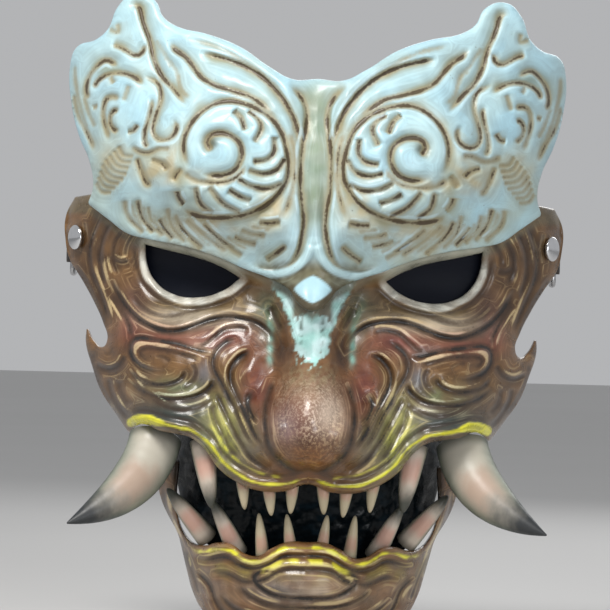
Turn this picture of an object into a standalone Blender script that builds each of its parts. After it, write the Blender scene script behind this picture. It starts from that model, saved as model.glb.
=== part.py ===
"""A painted cast-resin oni mask, built upright: +Z is up, the face looks along -Y, +X is the viewer's right.

The origin lies on the mask's plane of symmetry, level with the eyes, in the flat plane of the back rim.
Each sub-part is one closed body in its own object. Lengths in this file are millimetres until MM is applied.
"""
import math

import bmesh
import bpy
import numpy as np
from mathutils import Matrix, Vector

MM = 0.001

# Driving dimensions
WALL = 3.2  # resin wall of the face, crest and jaw
LINER_WALL = 2.2
LENS_WALL = 1.8
PAD_THICKNESS = 7.0
JOIN_GAP = 1.4  # glue line between two curved shells
GRID = 6.4  # spacing of the shells' surface grid
PRISM_REACH = 160.0  # half length of an outline cutter along Y
RIVET_X, RIVET_Z = 95.5, 13.0  # centre of the rivet's cap on the temple tab
CAP_RADIUS, CAP_HEIGHT = 5.0, 2.2
SHANK_RADIUS, BORE_RADIUS = 2.0, 2.4
WASHER_RADIUS, WASHER_THICKNESS = 5.6, 1.8
TAIL_RADIUS, TAIL_RIM, TAIL_HEIGHT = 3.8, 0.8, 1.2  # the rivet's flared tail: its edge and its middle
TAB_THICKNESS, TAB_END_RADIUS, TAB_WIDTH, TAB_LENGTH = 1.8, 7.0, 20.0, 17.0
TAB_NECK = 4.0  # straight end of the tab next to its barrel
BARREL_RADIUS, BARREL_BORE = 3.0, 1.7
WIRE_RADIUS = 1.2
RING_HEIGHT, RING_REACH, RING_CORNER = 28.5, 10.5, 2.4  # centre lines of the ring's wire
STEEL_GAP = 0.35
WALL_GAP = 1.3  # room between the curved wall and the flat washer
CHEEK_PAD_X, CHEEK_PAD_Z = 58.0, -34.0
CHEEK_PAD_WIDTH, CHEEK_PAD_HEIGHT = 26.0, 22.0

# How the half width, the edge depth and the middle depth of the mask change with height
HALF_WIDTH = (
    (-145, 43), (-112, 50), (-90, 63), (-66, 77), (-45, 88), (-20, 94), (10, 100.5), (70, 101), (110, 98),
)  # fmt: skip
FACE_EDGE = ((-90, 16), (-66, 14), (-45, 9), (-20, 5), (10, 1.5), (35, 2), (60, 6))
FACE_MIDDLE = ((-90, 72), (-72, 75), (-50, 70), (-30, 64), (-10, 60), (10, 60), (40, 64))
CREST_EDGE = ((-15, 12), (27, 11), (60, 13), (90, 19), (112, 27))
CREST_MIDDLE = ((-15, 74), (0, 79), (20, 82), (45, 82), (70, 75), (90, 66), (112, 54))
JAW_WIDTH = ((-145, 44), (-120, 50), (-104, 53), (-90, 62), (-66, 64))
JAW_EDGE = ((-145, 12), (-104, 11), (-80, 13), (-66, 13))
JAW_MIDDLE = ((-145, 50), (-132, 62), (-118, 67), (-106, 66), (-95, 56), (-80, 48), (-66, 46))
LINER_MIDDLE = ((-118, 35), (-95, 42), (-66, 48))
LINER_HALF_WIDTH, LINER_EDGE = 54.0, 4.0
ROUNDNESS, ROUND_END = 2.4, 0.85  # exponent and cut of the rounded cross-section
# Height of the crest's lower edge at each distance from the middle line
BROW_EDGE = (
    (0, -14), (9, -6), (16, -2), (27, 2), (38, 6.5), (52, 10.5), (66, 13), (74, 15), (82, 20.5), (91, 26.5),
)  # fmt: skip
BROW_STEP = 7.0  # how far the crest's lower edge stands proud of the face
BROW_RISE = 24.0  # height over which the brow swells out above that edge


def through(keys, where):
    """A smooth curve through (position, value) keys, level beyond both ends."""
    places = np.array([key[0] for key in keys], float)
    values = np.array([key[1] for key in keys], float)
    slopes = np.gradient(values, places)
    where = np.clip(where, places[0], places[-1])
    i = np.clip(np.searchsorted(places, where) - 1, 0, len(places) - 2)
    span = places[i + 1] - places[i]
    t = (where - places[i]) / span
    return (
        values[i] * (1 + 2 * t) * (1 - t) ** 2
        + values[i + 1] * t**2 * (3 - 2 * t)
        + span * t * (1 - t) * (slopes[i] * (1 - t) - slopes[i + 1] * t)
    )


def rounded(across):
    """Cross-section from 1 at the middle to 0 at the edge, and straight on past it."""
    end = math.sqrt(1 - ROUND_END**ROUNDNESS)
    inside = min(abs(across), 1.0)
    level = (math.sqrt(1 - (ROUND_END * inside) ** ROUNDNESS) - end) / (1 - end)
    slope = ROUNDNESS * ROUND_END**ROUNDNESS / (2 * end * (1 - end))
    return level - slope * max(abs(across) - 1.0, 0.0)


def dome(x, z, x0, z0, reach_x, reach_z, height):
    """A smooth mound on both sides of the mask."""
    far = ((abs(x) - x0) / reach_x) ** 2 + ((z - z0) / reach_z) ** 2
    return height * (1 - far) ** 1.5 if far < 1 else 0.0


def ease(t):
    """0 below 0, 1 above 1, and smooth between."""
    t = min(max(t, 0.0), 1.0)
    return t * t * (3 - 2 * t)


def plain_face_depth(x, z):
    """The face's rounded form with its nose bridge, before the other features."""
    edge = through(FACE_EDGE, z)
    depth = edge + (through(FACE_MIDDLE, z) - edge) * rounded(x / through(HALF_WIDTH, z))
    return depth + dome(x, z, 0, -16, 17, 44, 14)


def face_depth(x, z):
    """How far the face's outer surface stands in front of the rim plane."""
    depth = plain_face_depth(x, z)
    depth += dome(x, z, 0, -58, 24, 26, 24)  # nose ball
    depth += dome(x, z, 20, -63, 13, 14, 9)  # nostril wings
    depth -= dome(x, z, 47, 0, 34, 22, 7)  # eye sockets
    depth += dome(x, z, 58, -34, 30, 22, 7)  # cheeks
    depth += dome(x, z, 60, -58, 24, 18, 12)  # flared corners of the upper lip
    return depth


def crest_depth(x, z):
    """How far the brow crest's outer surface stands in front of the rim plane."""
    edge = through(CREST_EDGE, z)
    swollen = edge + (through(CREST_MIDDLE, z) - edge) * rounded(x / through(HALF_WIDTH, z))
    at_edge = plain_face_depth(x, z) + BROW_STEP
    depth = at_edge + (swollen - at_edge) * ease((z - through(BROW_EDGE, abs(x))) / BROW_RISE)
    depth += dome(x, z, 41, 50, 34, 34, 7)  # spiral bosses
    depth += dome(x, z, 83, 70, 20, 24, 4)  # ear bosses
    depth -= dome(x, z, 0, 60, 12, 70, 5)  # middle channel
    return depth


def jaw_depth(x, z):
    """How far the jaw's outer surface stands in front of the rim plane."""
    edge = through(JAW_EDGE, z)
    depth = edge + (through(JAW_MIDDLE, z) - edge) * rounded(x / through(JAW_WIDTH, z))
    return depth + dome(x, z, 0, -120, 26, 14, 4)  # chin boss


def liner_depth(x, z):
    """The mouth liner, a plain curved wall behind the teeth."""
    return LINER_EDGE + (through(LINER_MIDDLE, z) - LINER_EDGE) * rounded(x / LINER_HALF_WIDTH)


def behind(depth, wall):
    """The depth function of a surface that lies a wall's thickness behind another."""

    def deeper(x, z):
        step = 1.5
        slope_x = (depth(x + step, z) - depth(x - step, z)) / (2 * step)
        slope_z = (depth(x, z + step) - depth(x, z - step)) / (2 * step)
        return depth(x, z) - wall * math.sqrt(1 + slope_x**2 + slope_z**2)

    return deeper


def flange_depth(x, z):
    """The face, which follows the crest's inner side where it runs up behind it."""
    face = face_depth(x, z)
    pressed = behind(crest_depth, WALL + JOIN_GAP)(x, z)
    over_edge = z - through(BROW_EDGE, abs(x))
    face += (min(face, pressed) - face) * ease((over_edge + 11) / 5)
    return face + (pressed - face) * ease((over_edge + 7) / 6)


# Right halves of the front outlines, from the top of the mask's middle line to its bottom: x, z, corner?
CREST_OUTLINE = (
    (0, 76, 0), (10, 75.5, 0), (19, 80, 0), (31, 88, 0), (44, 93, 0), (56, 96, 0), (62, 100, 0),
    (66, 107, 0), (74, 109.5, 0), (80, 104.5, 0), (84, 95.5, 0), (89, 91.5, 0), (97, 89, 0), (99.5, 83, 0),
    (98.5, 66, 0), (95, 54, 0), (90, 43, 0), (88.5, 33, 0), (90.5, 26.5, 1), (82, 20.5, 0), (74, 15, 0),
    (66, 13, 0), (52, 10.5, 0), (38, 6.5, 0), (27, 2, 0), (16, -2, 0), (9, -6, 0), (5.5, -11, 0),
    (0, -14, 0),
)  # fmt: skip
FACE_OUTLINE = (
    (0, 8, 0), (14, 11, 0), (30, 16, 0), (52, 23, 0), (72, 28, 0), (86, 30, 0), (97, 29, 1), (100.5, 22, 0),
    (100.5, 12, 0), (98.5, 4, 0), (93, -4, 0), (87.5, -13, 0), (83.5, -21, 0), (81.5, -28, 0),
    (84, -31.5, 0), (88, -29, 0), (90.8, -24, 1), (91, -29, 0), (88, -39, 0), (84, -49, 0), (78, -57, 0),
    (72, -64.5, 1), (66, -60.5, 0), (59, -62.5, 0), (52, -63.5, 0), (46, -65, 0), (40, -70, 0),
    (35, -76.5, 0), (28, -81.5, 0), (20, -84.5, 0), (9, -84.5, 0), (0, -81.5, 0),
)  # fmt: skip
JAW_OUTLINE = (
    (0, -105.5, 0), (7, -105.5, 0), (13, -108, 0), (19, -111.5, 0), (24, -111, 0), (30, -107.5, 0),
    (35, -107.5, 0), (40, -109.3, 0), (45, -109, 0), (49.6, -105, 0), (52.4, -96, 0), (52, -76, 1),
    (58, -74, 1), (60, -84, 0), (58.5, -92, 0), (55.5, -99, 0), (52, -105, 0), (49.5, -113, 0),
    (47.5, -120, 0), (45, -128, 0), (40, -136, 0), (32, -141, 0), (17, -143.5, 0), (0, -144, 0),
)  # fmt: skip
LINER_OUTLINE = (
    (0, -70, 0), (25, -69, 0), (40, -63, 0), (53, -62, 0), (55.5, -70, 0), (52.5, -86, 0), (49, -97, 0),
    (44, -105, 0), (36, -111, 0), (22, -116, 0), (0, -116, 0),
)  # fmt: skip
EYE_OUTLINE = (
    (67.5, 11, 1), (57, 8.5, 0), (46, 6, 0), (36, 2.5, 0), (28, -2, 1), (35, -7.5, 0), (46, -10.7, 0),
    (55.5, -9.5, 0), (62.5, -5, 0), (66.5, 2, 0),
)  # fmt: skip
FOREHEAD_PAD_OUTLINE = ((0, 57, 0), (36, 52, 0), (42, 42, 0), (40, 36, 0), (0, 40, 0))
LENS_OUTLINE = (
    (70, 11, 0), (66, 13.5, 0), (57, 11.5, 0), (46, 9, 0), (35, 5.5, 0), (25.5, -1, 0), (33.5, -10, 0),
    (46, -13.7, 0), (57, -12.3, 0), (65, -7, 0), (69, 1, 0),
)  # fmt: skip

# Teeth of the right half: root and tip as (x, z, depth), then the root radius
UPPER_TEETH = (
    ((6, -80, 65.5), (6.5, -94, 66), 3.0),
    ((15.5, -81, 63.5), (14, -95, 65), 3.0),
    ((26, -78, 60), (24.5, -93, 62), 3.0),
)
LOWER_TEETH = (((6, -109, 57), (8, -94.5, 57.5), 2.7), ((17, -112, 54), (19, -94.5, 55), 2.9))
UPPER_CANINE = ((42, -67, 52), (37.5, -93, 56), 5.2)
INNER_FANG = ((27, -111, 41), (38, -90, 47), 4.2)
OUTER_FANG = ((39.8, -106, 30.2), (56, -86.5, 36.5), 4.6)
TUSK = ((61, -66.5, 39.5), (63, -79, 46), (72, -91, 58), (93.5, -99.5, 72))  # its four Bezier control points
TUSK_RADIUS, TUSK_TAPER, TUSK_TIP = 10.0, 3.2, 0.7
UPPER_BOW, LOWER_BOW, FANG_BOW = 1.0, 0.8, 1.5  # how far a tooth curves out forwards
TOOTH_STEPS, TUSK_STEPS = 5, 12


def paint(piece, name, colour, roughness, metallic=0.0):
    """One Principled material on a piece."""
    material = bpy.data.materials.get(name)
    if material is None:
        material = bpy.data.materials.new(name)
        material.use_nodes = True
        shader = material.node_tree.nodes["Principled BSDF"]
        shader.inputs["Base Color"].default_value = (*colour, 1.0)
        shader.inputs["Roughness"].default_value = roughness
        shader.inputs["Metallic"].default_value = metallic
    piece.data.materials.clear()
    piece.data.materials.append(material)


def add_object(name, mesh, group):
    """A new object in one of the part's collections."""
    piece = bpy.data.objects.new(name, mesh)
    group.objects.link(piece)
    return piece


def hide_cutter(cutter):
    """Cutters stay out of the built part."""
    cutter.hide_render = True
    cutter.display_type = "WIRE"
    return cutter


def mesh_from_curve(curve_object, group):
    """A curve's solid as a closed mesh object that other pieces can be cut with."""
    bpy.context.view_layer.update()
    mesh = bpy.data.meshes.new_from_object(curve_object.evaluated_get(bpy.context.evaluated_depsgraph_get()))
    shape = bmesh.new()
    shape.from_mesh(mesh)
    bmesh.ops.remove_doubles(shape, verts=shape.verts, dist=0.00001)
    bmesh.ops.recalc_face_normals(shape, faces=shape.faces)
    shape.to_mesh(mesh)
    shape.free()
    solid = add_object(curve_object.name + "_solid", mesh, group)
    solid.matrix_world = curve_object.matrix_world.copy()
    curve = curve_object.data
    bpy.data.objects.remove(curve_object)
    bpy.data.curves.remove(curve)
    return solid


def both_sides(half):
    """A closed outline from the right half of one that is symmetric about x = 0."""
    mirrored = [(-x, z, corner) for x, z, corner in reversed(half) if x > 0]
    return list(half) + mirrored


def outline_cutter(name, points, group, segments=2):
    """A prism along Y whose front outline passes smoothly through the points, sharp at the corners."""
    curve = bpy.data.curves.new(name, "CURVE")
    curve.dimensions = "2D"
    curve.fill_mode = "BOTH"
    curve.extrude = PRISM_REACH * MM
    curve.resolution_u = segments
    spline = curve.splines.new("BEZIER")
    spline.bezier_points.add(len(points) - 1)
    for point, (x, z, corner) in zip(spline.bezier_points, points):
        point.co = (x * MM, z * MM, 0)
        point.handle_left_type = point.handle_right_type = "VECTOR" if corner else "AUTO"
    spline.use_cyclic_u = True
    outline = add_object(name, curve, group)
    outline.matrix_world = Matrix.Rotation(math.radians(90), 4, "X")
    return hide_cutter(mesh_from_curve(outline, group))


def cut(piece, cutter, operation="DIFFERENCE"):
    """A Boolean modifier that stays on the piece."""
    boolean = piece.modifiers.new(operation.title(), "BOOLEAN")
    boolean.object = cutter
    boolean.operation = operation
    boolean.solver = "EXACT"


def shell(name, depth, wall, outline, group, cutters, grid=GRID, reaches_rim=False):
    """A sheet raised by a depth function, thickened backwards and cut to its front outline."""
    xs = [x for x, z, corner in outline]
    zs = [z for x, z, corner in outline]
    low = Vector((min(xs) - grid, min(zs) - grid))
    high = Vector((max(xs) + grid, max(zs) + grid))
    columns = 2 * round((high.x - low.x) / grid / 2) + 1  # odd, so that no row of corners lies on x = 0
    rows = round((high.y - low.y) / grid)
    shape = bmesh.new()
    bmesh.ops.create_grid(shape, x_segments=columns, y_segments=rows, size=0.5)
    for vertex in shape.verts:
        x = low.x + (vertex.co.x + 0.5) * (high.x - low.x)
        z = low.y + (vertex.co.y + 0.5) * (high.y - low.y)
        vertex.co = (x * MM, -depth(x, z) * MM, z * MM)
    mesh = bpy.data.meshes.new(name)
    shape.to_mesh(mesh)
    shape.free()
    piece = add_object(name, mesh, group)
    thick = piece.modifiers.new("Wall", "SOLIDIFY")
    thick.thickness = wall * MM
    thick.offset = -1
    thick.use_even_offset = True
    cut(piece, outline_cutter(name + "_outline", outline, cutters), "INTERSECT")
    if reaches_rim:
        cut(piece, bpy.data.objects["rim_plane"])
    return piece


def horn(name, route, radii, group, cutters, roundness=2):
    """A tapering tooth: a tube along the route's points, with a radius at each."""
    curve = bpy.data.curves.new(name, "CURVE")
    curve.dimensions = "3D"
    curve.bevel_depth = MM
    curve.bevel_resolution = roundness
    curve.use_fill_caps = True
    spline = curve.splines.new("POLY")
    spline.points.add(len(route) - 1)
    for point, (x, z, depth), radius in zip(spline.points, route, radii):
        point.co = (x * MM, -depth * MM, z * MM, 1)
        point.radius = radius
    mesh_object = mesh_from_curve(add_object(name + "_curve", curve, cutters), group)
    mesh_object.name = name
    mesh_object.data.name = name
    return mesh_object


def tooth_route(root, tip, bow):
    """Points from root to tip that bow forwards out of the straight line."""
    route = []
    for step in range(TOOTH_STEPS + 1):
        t = step / TOOTH_STEPS
        x, z, depth = (a + (b - a) * t for a, b in zip(root, tip))
        route.append((x, z, depth + bow * 4 * t * (1 - t)))
    return route


def tooth_radii(radius):
    """A tooth stays full near its root and closes quickly at its tip."""
    fullness, tip = 1.7, 0.12
    return [radius * max(1 - (step / TOOTH_STEPS) ** fullness, tip) for step in range(TOOTH_STEPS + 1)]


def cubic(points, t):
    """A point of the cubic Bezier curve with four control points."""
    weights = ((1 - t) ** 3, 3 * t * (1 - t) ** 2, 3 * t**2 * (1 - t), t**3)
    return tuple(sum(w * p[k] for w, p in zip(weights, points)) for k in range(3))


def flip(point, side):
    """A point of the right half, or its mirror image."""
    return (point[0] * side, point[1], point[2])


def rivet_frame(side):
    """The rivet's place: X along the tab, Y up, Z out of the mask along the rivet's axis."""
    step = 0.5
    slope = (face_depth(RIVET_X + step, RIVET_Z) - face_depth(RIVET_X - step, RIVET_Z)) / (2 * step)
    out = Vector((-slope * side, -1, 0)).normalized()
    up = Vector((0, 0, 1))
    back = up.cross(out) * side
    centre = Vector((RIVET_X * side, -face_depth(RIVET_X, RIVET_Z), RIVET_Z)) * MM
    frame = Matrix((back * side, up, out)).transposed().to_4x4()
    frame.translation = centre
    return frame


def cylinder(name, radius, low, high, group, frame, segments=24):
    """A cylinder along a frame's Z axis, from low to high."""
    shape = bmesh.new()
    size = radius * MM
    bmesh.ops.create_cone(
        shape, cap_ends=True, segments=segments, radius1=size, radius2=size, depth=(high - low) * MM
    )
    bmesh.ops.translate(shape, verts=shape.verts, vec=(0, 0, (low + high) / 2 * MM))
    mesh = bpy.data.meshes.new(name)
    shape.to_mesh(mesh)
    shape.free()
    piece = add_object(name, mesh, group)
    piece.matrix_world = frame
    return piece


def turned(name, profile, group, frame, steps=16):
    """A solid turned about a frame's Z axis from an outer profile that starts and ends on the axis."""
    mesh = bpy.data.meshes.new(name)
    points = [(radius * MM, 0, height * MM) for radius, height in profile]
    mesh.from_pydata(points, [(i, i + 1) for i in range(len(points) - 1)], [])
    piece = add_object(name, mesh, group)
    piece.matrix_world = frame
    screw = piece.modifiers.new("Turn", "SCREW")
    screw.steps = steps
    screw.render_steps = steps
    screw.use_merge_vertices = True
    screw.merge_threshold = 0.00001
    screw.use_normal_calculate = False
    return piece


def stack_depths():
    """Heights on the rivet's axis of the outer faces of the washer, the tab and the rivet's tail."""
    washer_top = -(WALL + WALL_GAP)
    tab_top = washer_top - WASHER_THICKNESS - STEEL_GAP
    tail_top = tab_top - TAB_THICKNESS - STEEL_GAP
    return washer_top, tab_top, tail_top


def make_rivet(side, label, group):
    """A domed cap, a shank and a flared tail, turned in one piece."""
    tail_top = stack_depths()[2]
    rise = STEEL_GAP
    cap_rim = 0.4
    profile = [(0, rise + CAP_HEIGHT)]
    for angle in np.radians(range(75, -1, -15)):
        height = rise + cap_rim + (CAP_HEIGHT - cap_rim) * math.sin(angle)
        profile.append((CAP_RADIUS * math.cos(angle), height))
    profile += [
        (CAP_RADIUS, rise), (SHANK_RADIUS, rise), (SHANK_RADIUS, tail_top), (TAIL_RADIUS, tail_top),
        (TAIL_RADIUS, tail_top - TAIL_RIM), (0, tail_top - TAIL_HEIGHT),
    ]  # fmt: skip
    rivet = turned("temple_rivet_" + label, profile, group, rivet_frame(side))
    paint(rivet, "chrome", (0.75, 0.76, 0.78), 0.15, 1.0)


def make_washer(side, label, group, cutters):
    """The spacer that keeps the strap tab off the curved wall."""
    washer_top = stack_depths()[0]
    frame = rivet_frame(side)
    washer = cylinder(
        "rivet_washer_" + label, WASHER_RADIUS, washer_top - WASHER_THICKNESS, washer_top, group, frame
    )
    past = 2 * WASHER_THICKNESS
    below, above = washer_top - past, washer_top + past
    bore = cylinder("washer_bore_" + label, BORE_RADIUS, below, above, cutters, frame)
    cut(washer, hide_cutter(bore))
    paint(washer, "steel", (0.6, 0.6, 0.62), 0.35, 1.0)


def make_tab(side, label, group, cutters):
    """A leather tab that turns on the rivet, with its end rolled round the ring's bar."""
    tab_top = stack_depths()[1]
    frame = rivet_frame(side)
    middle = tab_top - TAB_THICKNESS / 2
    curve = bpy.data.curves.new("tab", "CURVE")
    curve.dimensions = "2D"
    curve.fill_mode = "BOTH"
    curve.extrude = TAB_THICKNESS / 2 * MM
    spline = curve.splines.new("POLY")
    turn = np.radians(range(105, 256, 15))
    arc = [(TAB_END_RADIUS * math.cos(a), TAB_END_RADIUS * math.sin(a)) for a in turn]
    half = TAB_WIDTH / 2
    neck = TAB_LENGTH - TAB_NECK
    points = arc + [(neck, -half), (TAB_LENGTH, -half), (TAB_LENGTH, half), (neck, half)]
    spline.points.add(len(points) - 1)
    for point, (along, up) in zip(spline.points, points):
        point.co = (along * side * MM, up * MM, 0, 1)
    spline.use_cyclic_u = True
    plate = add_object("tab_plate_" + label, curve, cutters)
    plate.matrix_world = frame @ Matrix.Translation((0, 0, middle * MM))
    tab = mesh_from_curve(plate, group)
    tab.name = "strap_tab_" + label
    barrel_frame = frame @ Matrix.Translation((TAB_LENGTH * side * MM, 0, middle * MM))
    barrel_frame = barrel_frame @ Matrix.Rotation(math.radians(-90), 4, "X")
    barrel = cylinder("tab_barrel_" + label, BARREL_RADIUS, -half, half, cutters, barrel_frame, 16)
    name = "tab_barrel_bore_" + label
    bore = cylinder(name, BARREL_BORE, -TAB_WIDTH, TAB_WIDTH, cutters, barrel_frame, 16)
    below, above = tab_top - 2 * TAB_THICKNESS, tab_top + 2 * TAB_THICKNESS
    rivet_hole = cylinder("tab_rivet_hole_" + label, BORE_RADIUS, below, above, cutters, frame)
    cut(tab, hide_cutter(barrel), "UNION")
    cut(tab, hide_cutter(bore))
    cut(tab, hide_cutter(rivet_hole))
    paint(tab, "leather", (0.05, 0.035, 0.03), 0.6)
    return barrel_frame.translation.copy()


def make_ring(label, group, cutters, centre):
    """A rectangular wire ring, held by one long side in the tab's rolled end, reaching straight back."""
    curve = bpy.data.curves.new("ring", "CURVE")
    curve.dimensions = "3D"
    curve.bevel_depth = WIRE_RADIUS * MM
    curve.bevel_resolution = 2
    spline = curve.splines.new("POLY")
    half = RING_HEIGHT / 2
    points = []
    for y0, z0, start in ((RING_REACH, half, 0), (0, half, 90), (0, -half, 180), (RING_REACH, -half, 270)):
        middle_y = y0 - RING_CORNER if y0 else RING_CORNER
        middle_z = z0 - math.copysign(RING_CORNER, z0)
        for a in np.radians(range(start, start + 91, 30)):
            points.append((middle_y + RING_CORNER * math.cos(a), middle_z + RING_CORNER * math.sin(a)))
    spline.points.add(len(points) - 1)
    for point, (y, z) in zip(spline.points, points):
        point.co = (0, y * MM, z * MM, 1)
    spline.use_cyclic_u = True
    wire = add_object("ring_wire_" + label, curve, cutters)
    wire.location = centre
    ring = mesh_from_curve(wire, group)
    ring.name = "strap_ring_" + label
    paint(ring, "steel", (0.6, 0.6, 0.62), 0.35, 1.0)


def make_teeth(group, cutters):
    """Every tooth is its own cast piece."""
    teeth = [
        ("upper_canine_{}", UPPER_CANINE, FANG_BOW),
        ("lower_fang_inner_{}", INNER_FANG, FANG_BOW),
        ("lower_fang_outer_{}", OUTER_FANG, FANG_BOW),
    ]
    for number, tooth in enumerate(UPPER_TEETH, 1):
        teeth.append((f"upper_tooth_{{}}_{number}", tooth, UPPER_BOW))
    for number, tooth in enumerate(LOWER_TEETH, 1):
        teeth.append((f"lower_tooth_{{}}_{number}", tooth, LOWER_BOW))
    for name, (root, tip, radius), bow in teeth:
        for side, label in ((1, "right"), (-1, "left")):
            route = tooth_route(flip(root, side), flip(tip, side), bow)
            tooth = horn(name.format(label), route, tooth_radii(radius), group, cutters)
            paint(tooth, "tooth", (0.45, 0.36, 0.22), 0.35)


def make_tusk(side, label, group, cutters):
    """A tusk that leaves the corner of the lip downwards and sweeps out and forwards."""
    shares = [step / TUSK_STEPS for step in range(TUSK_STEPS + 1)]
    route = [cubic([flip(point, side) for point in TUSK], t) for t in shares]
    radii = [max(TUSK_RADIUS * (1 - t**TUSK_TAPER), TUSK_TIP) for t in shares]
    tusk = horn("tusk_" + label, route, radii, group, cutters, 3)
    paint(tusk, "tusk", (0.33, 0.24, 0.17), 0.25)


def make_pad(name, depth, outline, group, cutters):
    """A foam pad behind a shell, a glue line away from its inner side."""
    pad = shell(name, behind(depth, WALL + JOIN_GAP), PAD_THICKNESS, outline, group, cutters)
    paint(pad, "foam", (0.03, 0.03, 0.03), 0.9)


def make_mask():
    """Builds every sub-part."""
    for old in list(bpy.data.objects):
        bpy.data.objects.remove(old)
    group = bpy.data.collections.new("oni_mask")
    cutters = bpy.data.collections.new("cutters")
    bpy.context.scene.collection.children.link(group)
    bpy.context.scene.collection.children.link(cutters)

    reach = 300
    shape = bmesh.new()
    bmesh.ops.create_cube(shape, size=2 * reach * MM)
    bmesh.ops.translate(shape, verts=shape.verts, vec=(0, reach * MM, 0))
    rim_mesh = bpy.data.meshes.new("rim_plane")
    shape.to_mesh(rim_mesh)
    shape.free()
    hide_cutter(add_object("rim_plane", rim_mesh, cutters))

    outline = both_sides(FACE_OUTLINE)
    face = shell("face_shell", flange_depth, WALL, outline, group, cutters, reaches_rim=True)
    for side, label in ((1, "right"), (-1, "left")):
        eye = [(x * side, z, corner) for x, z, corner in EYE_OUTLINE]
        cut(face, outline_cutter("eye_opening_" + label, eye, cutters))
        past = 3 * WALL
        bore = cylinder("rivet_bore_" + label, BORE_RADIUS, -past, past, cutters, rivet_frame(side))
        cut(face, hide_cutter(bore))
    paint(face, "bronze_brown", (0.16, 0.09, 0.05), 0.3)

    crest = shell("brow_crest", crest_depth, WALL, both_sides(CREST_OUTLINE), group, cutters)
    paint(crest, "ivory", (0.66, 0.74, 0.72), 0.4)
    jaw = shell("jaw_shell", jaw_depth, WALL, both_sides(JAW_OUTLINE), group, cutters)
    paint(jaw, "bronze_brown", (0.16, 0.09, 0.05), 0.3)
    liner = shell("mouth_liner", liner_depth, LINER_WALL, both_sides(LINER_OUTLINE), group, cutters)
    paint(liner, "blue_black", (0.02, 0.025, 0.035), 0.15)

    lens_depth = behind(face_depth, WALL + JOIN_GAP)
    for side, label in ((1, "right"), (-1, "left")):
        outline = [(x * side, z, corner) for x, z, corner in LENS_OUTLINE]
        lens = shell("eye_lens_" + label, lens_depth, LENS_WALL, outline, group, cutters, 5.0)
        paint(lens, "smoked", (0.01, 0.012, 0.02), 0.05)

    make_pad("forehead_pad", crest_depth, both_sides(FOREHEAD_PAD_OUTLINE), group, cutters)
    for side, label in ((1, "right"), (-1, "left")):
        cheek = [
            (
                CHEEK_PAD_X * side + CHEEK_PAD_WIDTH / 2 * math.cos(a),
                CHEEK_PAD_Z + CHEEK_PAD_HEIGHT / 2 * math.sin(a),
                0,
            )
            for a in np.radians(range(0, 360, 45))
        ]
        make_pad("cheek_pad_" + label, face_depth, cheek, group, cutters)

    make_teeth(group, cutters)
    for side, label in ((1, "right"), (-1, "left")):
        make_tusk(side, label, group, cutters)
        make_rivet(side, label, group)
        make_washer(side, label, group, cutters)
        centre = make_tab(side, label, group, cutters)
        make_ring(label, group, cutters, centre)


make_mask()
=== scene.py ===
"""The looks of a painted oni mask: carved shells, teeth, hardware, paint, light and camera.

Lengths are millimetres until MM is applied. The mask is upright: +X is the viewer's right, +Z is up,
and the face looks along -Y. A depth is how far a surface stands in front of the rim plane at y = 0.
"""
import math
from functools import partial

import bmesh
import bpy
import numpy as np
from mathutils import Matrix, Vector


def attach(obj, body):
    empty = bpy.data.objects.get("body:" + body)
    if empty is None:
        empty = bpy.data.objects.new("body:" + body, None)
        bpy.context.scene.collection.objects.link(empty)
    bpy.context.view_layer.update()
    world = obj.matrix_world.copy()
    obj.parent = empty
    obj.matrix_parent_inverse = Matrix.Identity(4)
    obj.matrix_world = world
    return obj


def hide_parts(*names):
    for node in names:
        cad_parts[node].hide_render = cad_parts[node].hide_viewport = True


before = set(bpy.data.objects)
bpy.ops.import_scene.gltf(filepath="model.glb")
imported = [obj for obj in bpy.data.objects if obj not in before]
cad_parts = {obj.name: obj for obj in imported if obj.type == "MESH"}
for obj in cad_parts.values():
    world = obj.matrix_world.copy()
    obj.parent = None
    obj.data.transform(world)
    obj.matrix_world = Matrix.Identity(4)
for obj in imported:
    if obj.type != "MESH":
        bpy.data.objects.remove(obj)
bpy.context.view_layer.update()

MM = 0.001
THINNEST = 1.0  # a wall is never thinner than this, however deep its carving
SIDES = ((1, "right"), (-1, "left"))  # the viewer's right and left

# Dimensions shared with the CAD model
WALL, LINER_WALL, LENS_WALL, PAD_THICKNESS, JOIN_GAP = 3.2, 2.2, 1.8, 7.0, 1.4
RIVET_X, RIVET_Z = 95.5, 13.0
CAP_RADIUS, CAP_HEIGHT = 5.0, 2.2
SHANK_RADIUS, BORE_RADIUS = 2.0, 2.4
TAIL_RADIUS, TAIL_RIM = 3.8, 0.8
WASHER_RADIUS, WASHER_THICKNESS = 5.6, 1.8
TAB_THICKNESS, TAB_END_RADIUS, TAB_WIDTH, TAB_LENGTH = 1.8, 7.0, 20.0, 17.0
BARREL_RADIUS, BARREL_BORE = 3.0, 1.7
WIRE_RADIUS, RING_HEIGHT, RING_REACH, RING_CORNER = 1.2, 28.5, 10.5, 2.4
STEEL_GAP, WALL_GAP = 0.35, 1.3
HALF_WIDTH = ((-145, 43), (-112, 50), (-90, 63), (-66, 77), (-45, 88), (-20, 94), (10, 100.5), (70, 101),
              (110, 98))
FACE_EDGE = ((-90, 16), (-66, 14), (-45, 9), (-20, 5), (10, 1.5), (35, 2), (60, 6))
FACE_MIDDLE = ((-90, 72), (-72, 75), (-50, 70), (-30, 64), (-10, 60), (10, 60), (40, 64))
CREST_EDGE = ((-15, 12), (27, 11), (60, 13), (90, 19), (112, 27))
CREST_MIDDLE = ((-15, 74), (0, 79), (20, 82), (45, 82), (70, 75), (90, 66), (112, 54))
JAW_WIDTH = ((-145, 44), (-120, 50), (-104, 53), (-90, 62), (-66, 64))
JAW_EDGE = ((-145, 12), (-104, 11), (-80, 13), (-66, 13))
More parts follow.
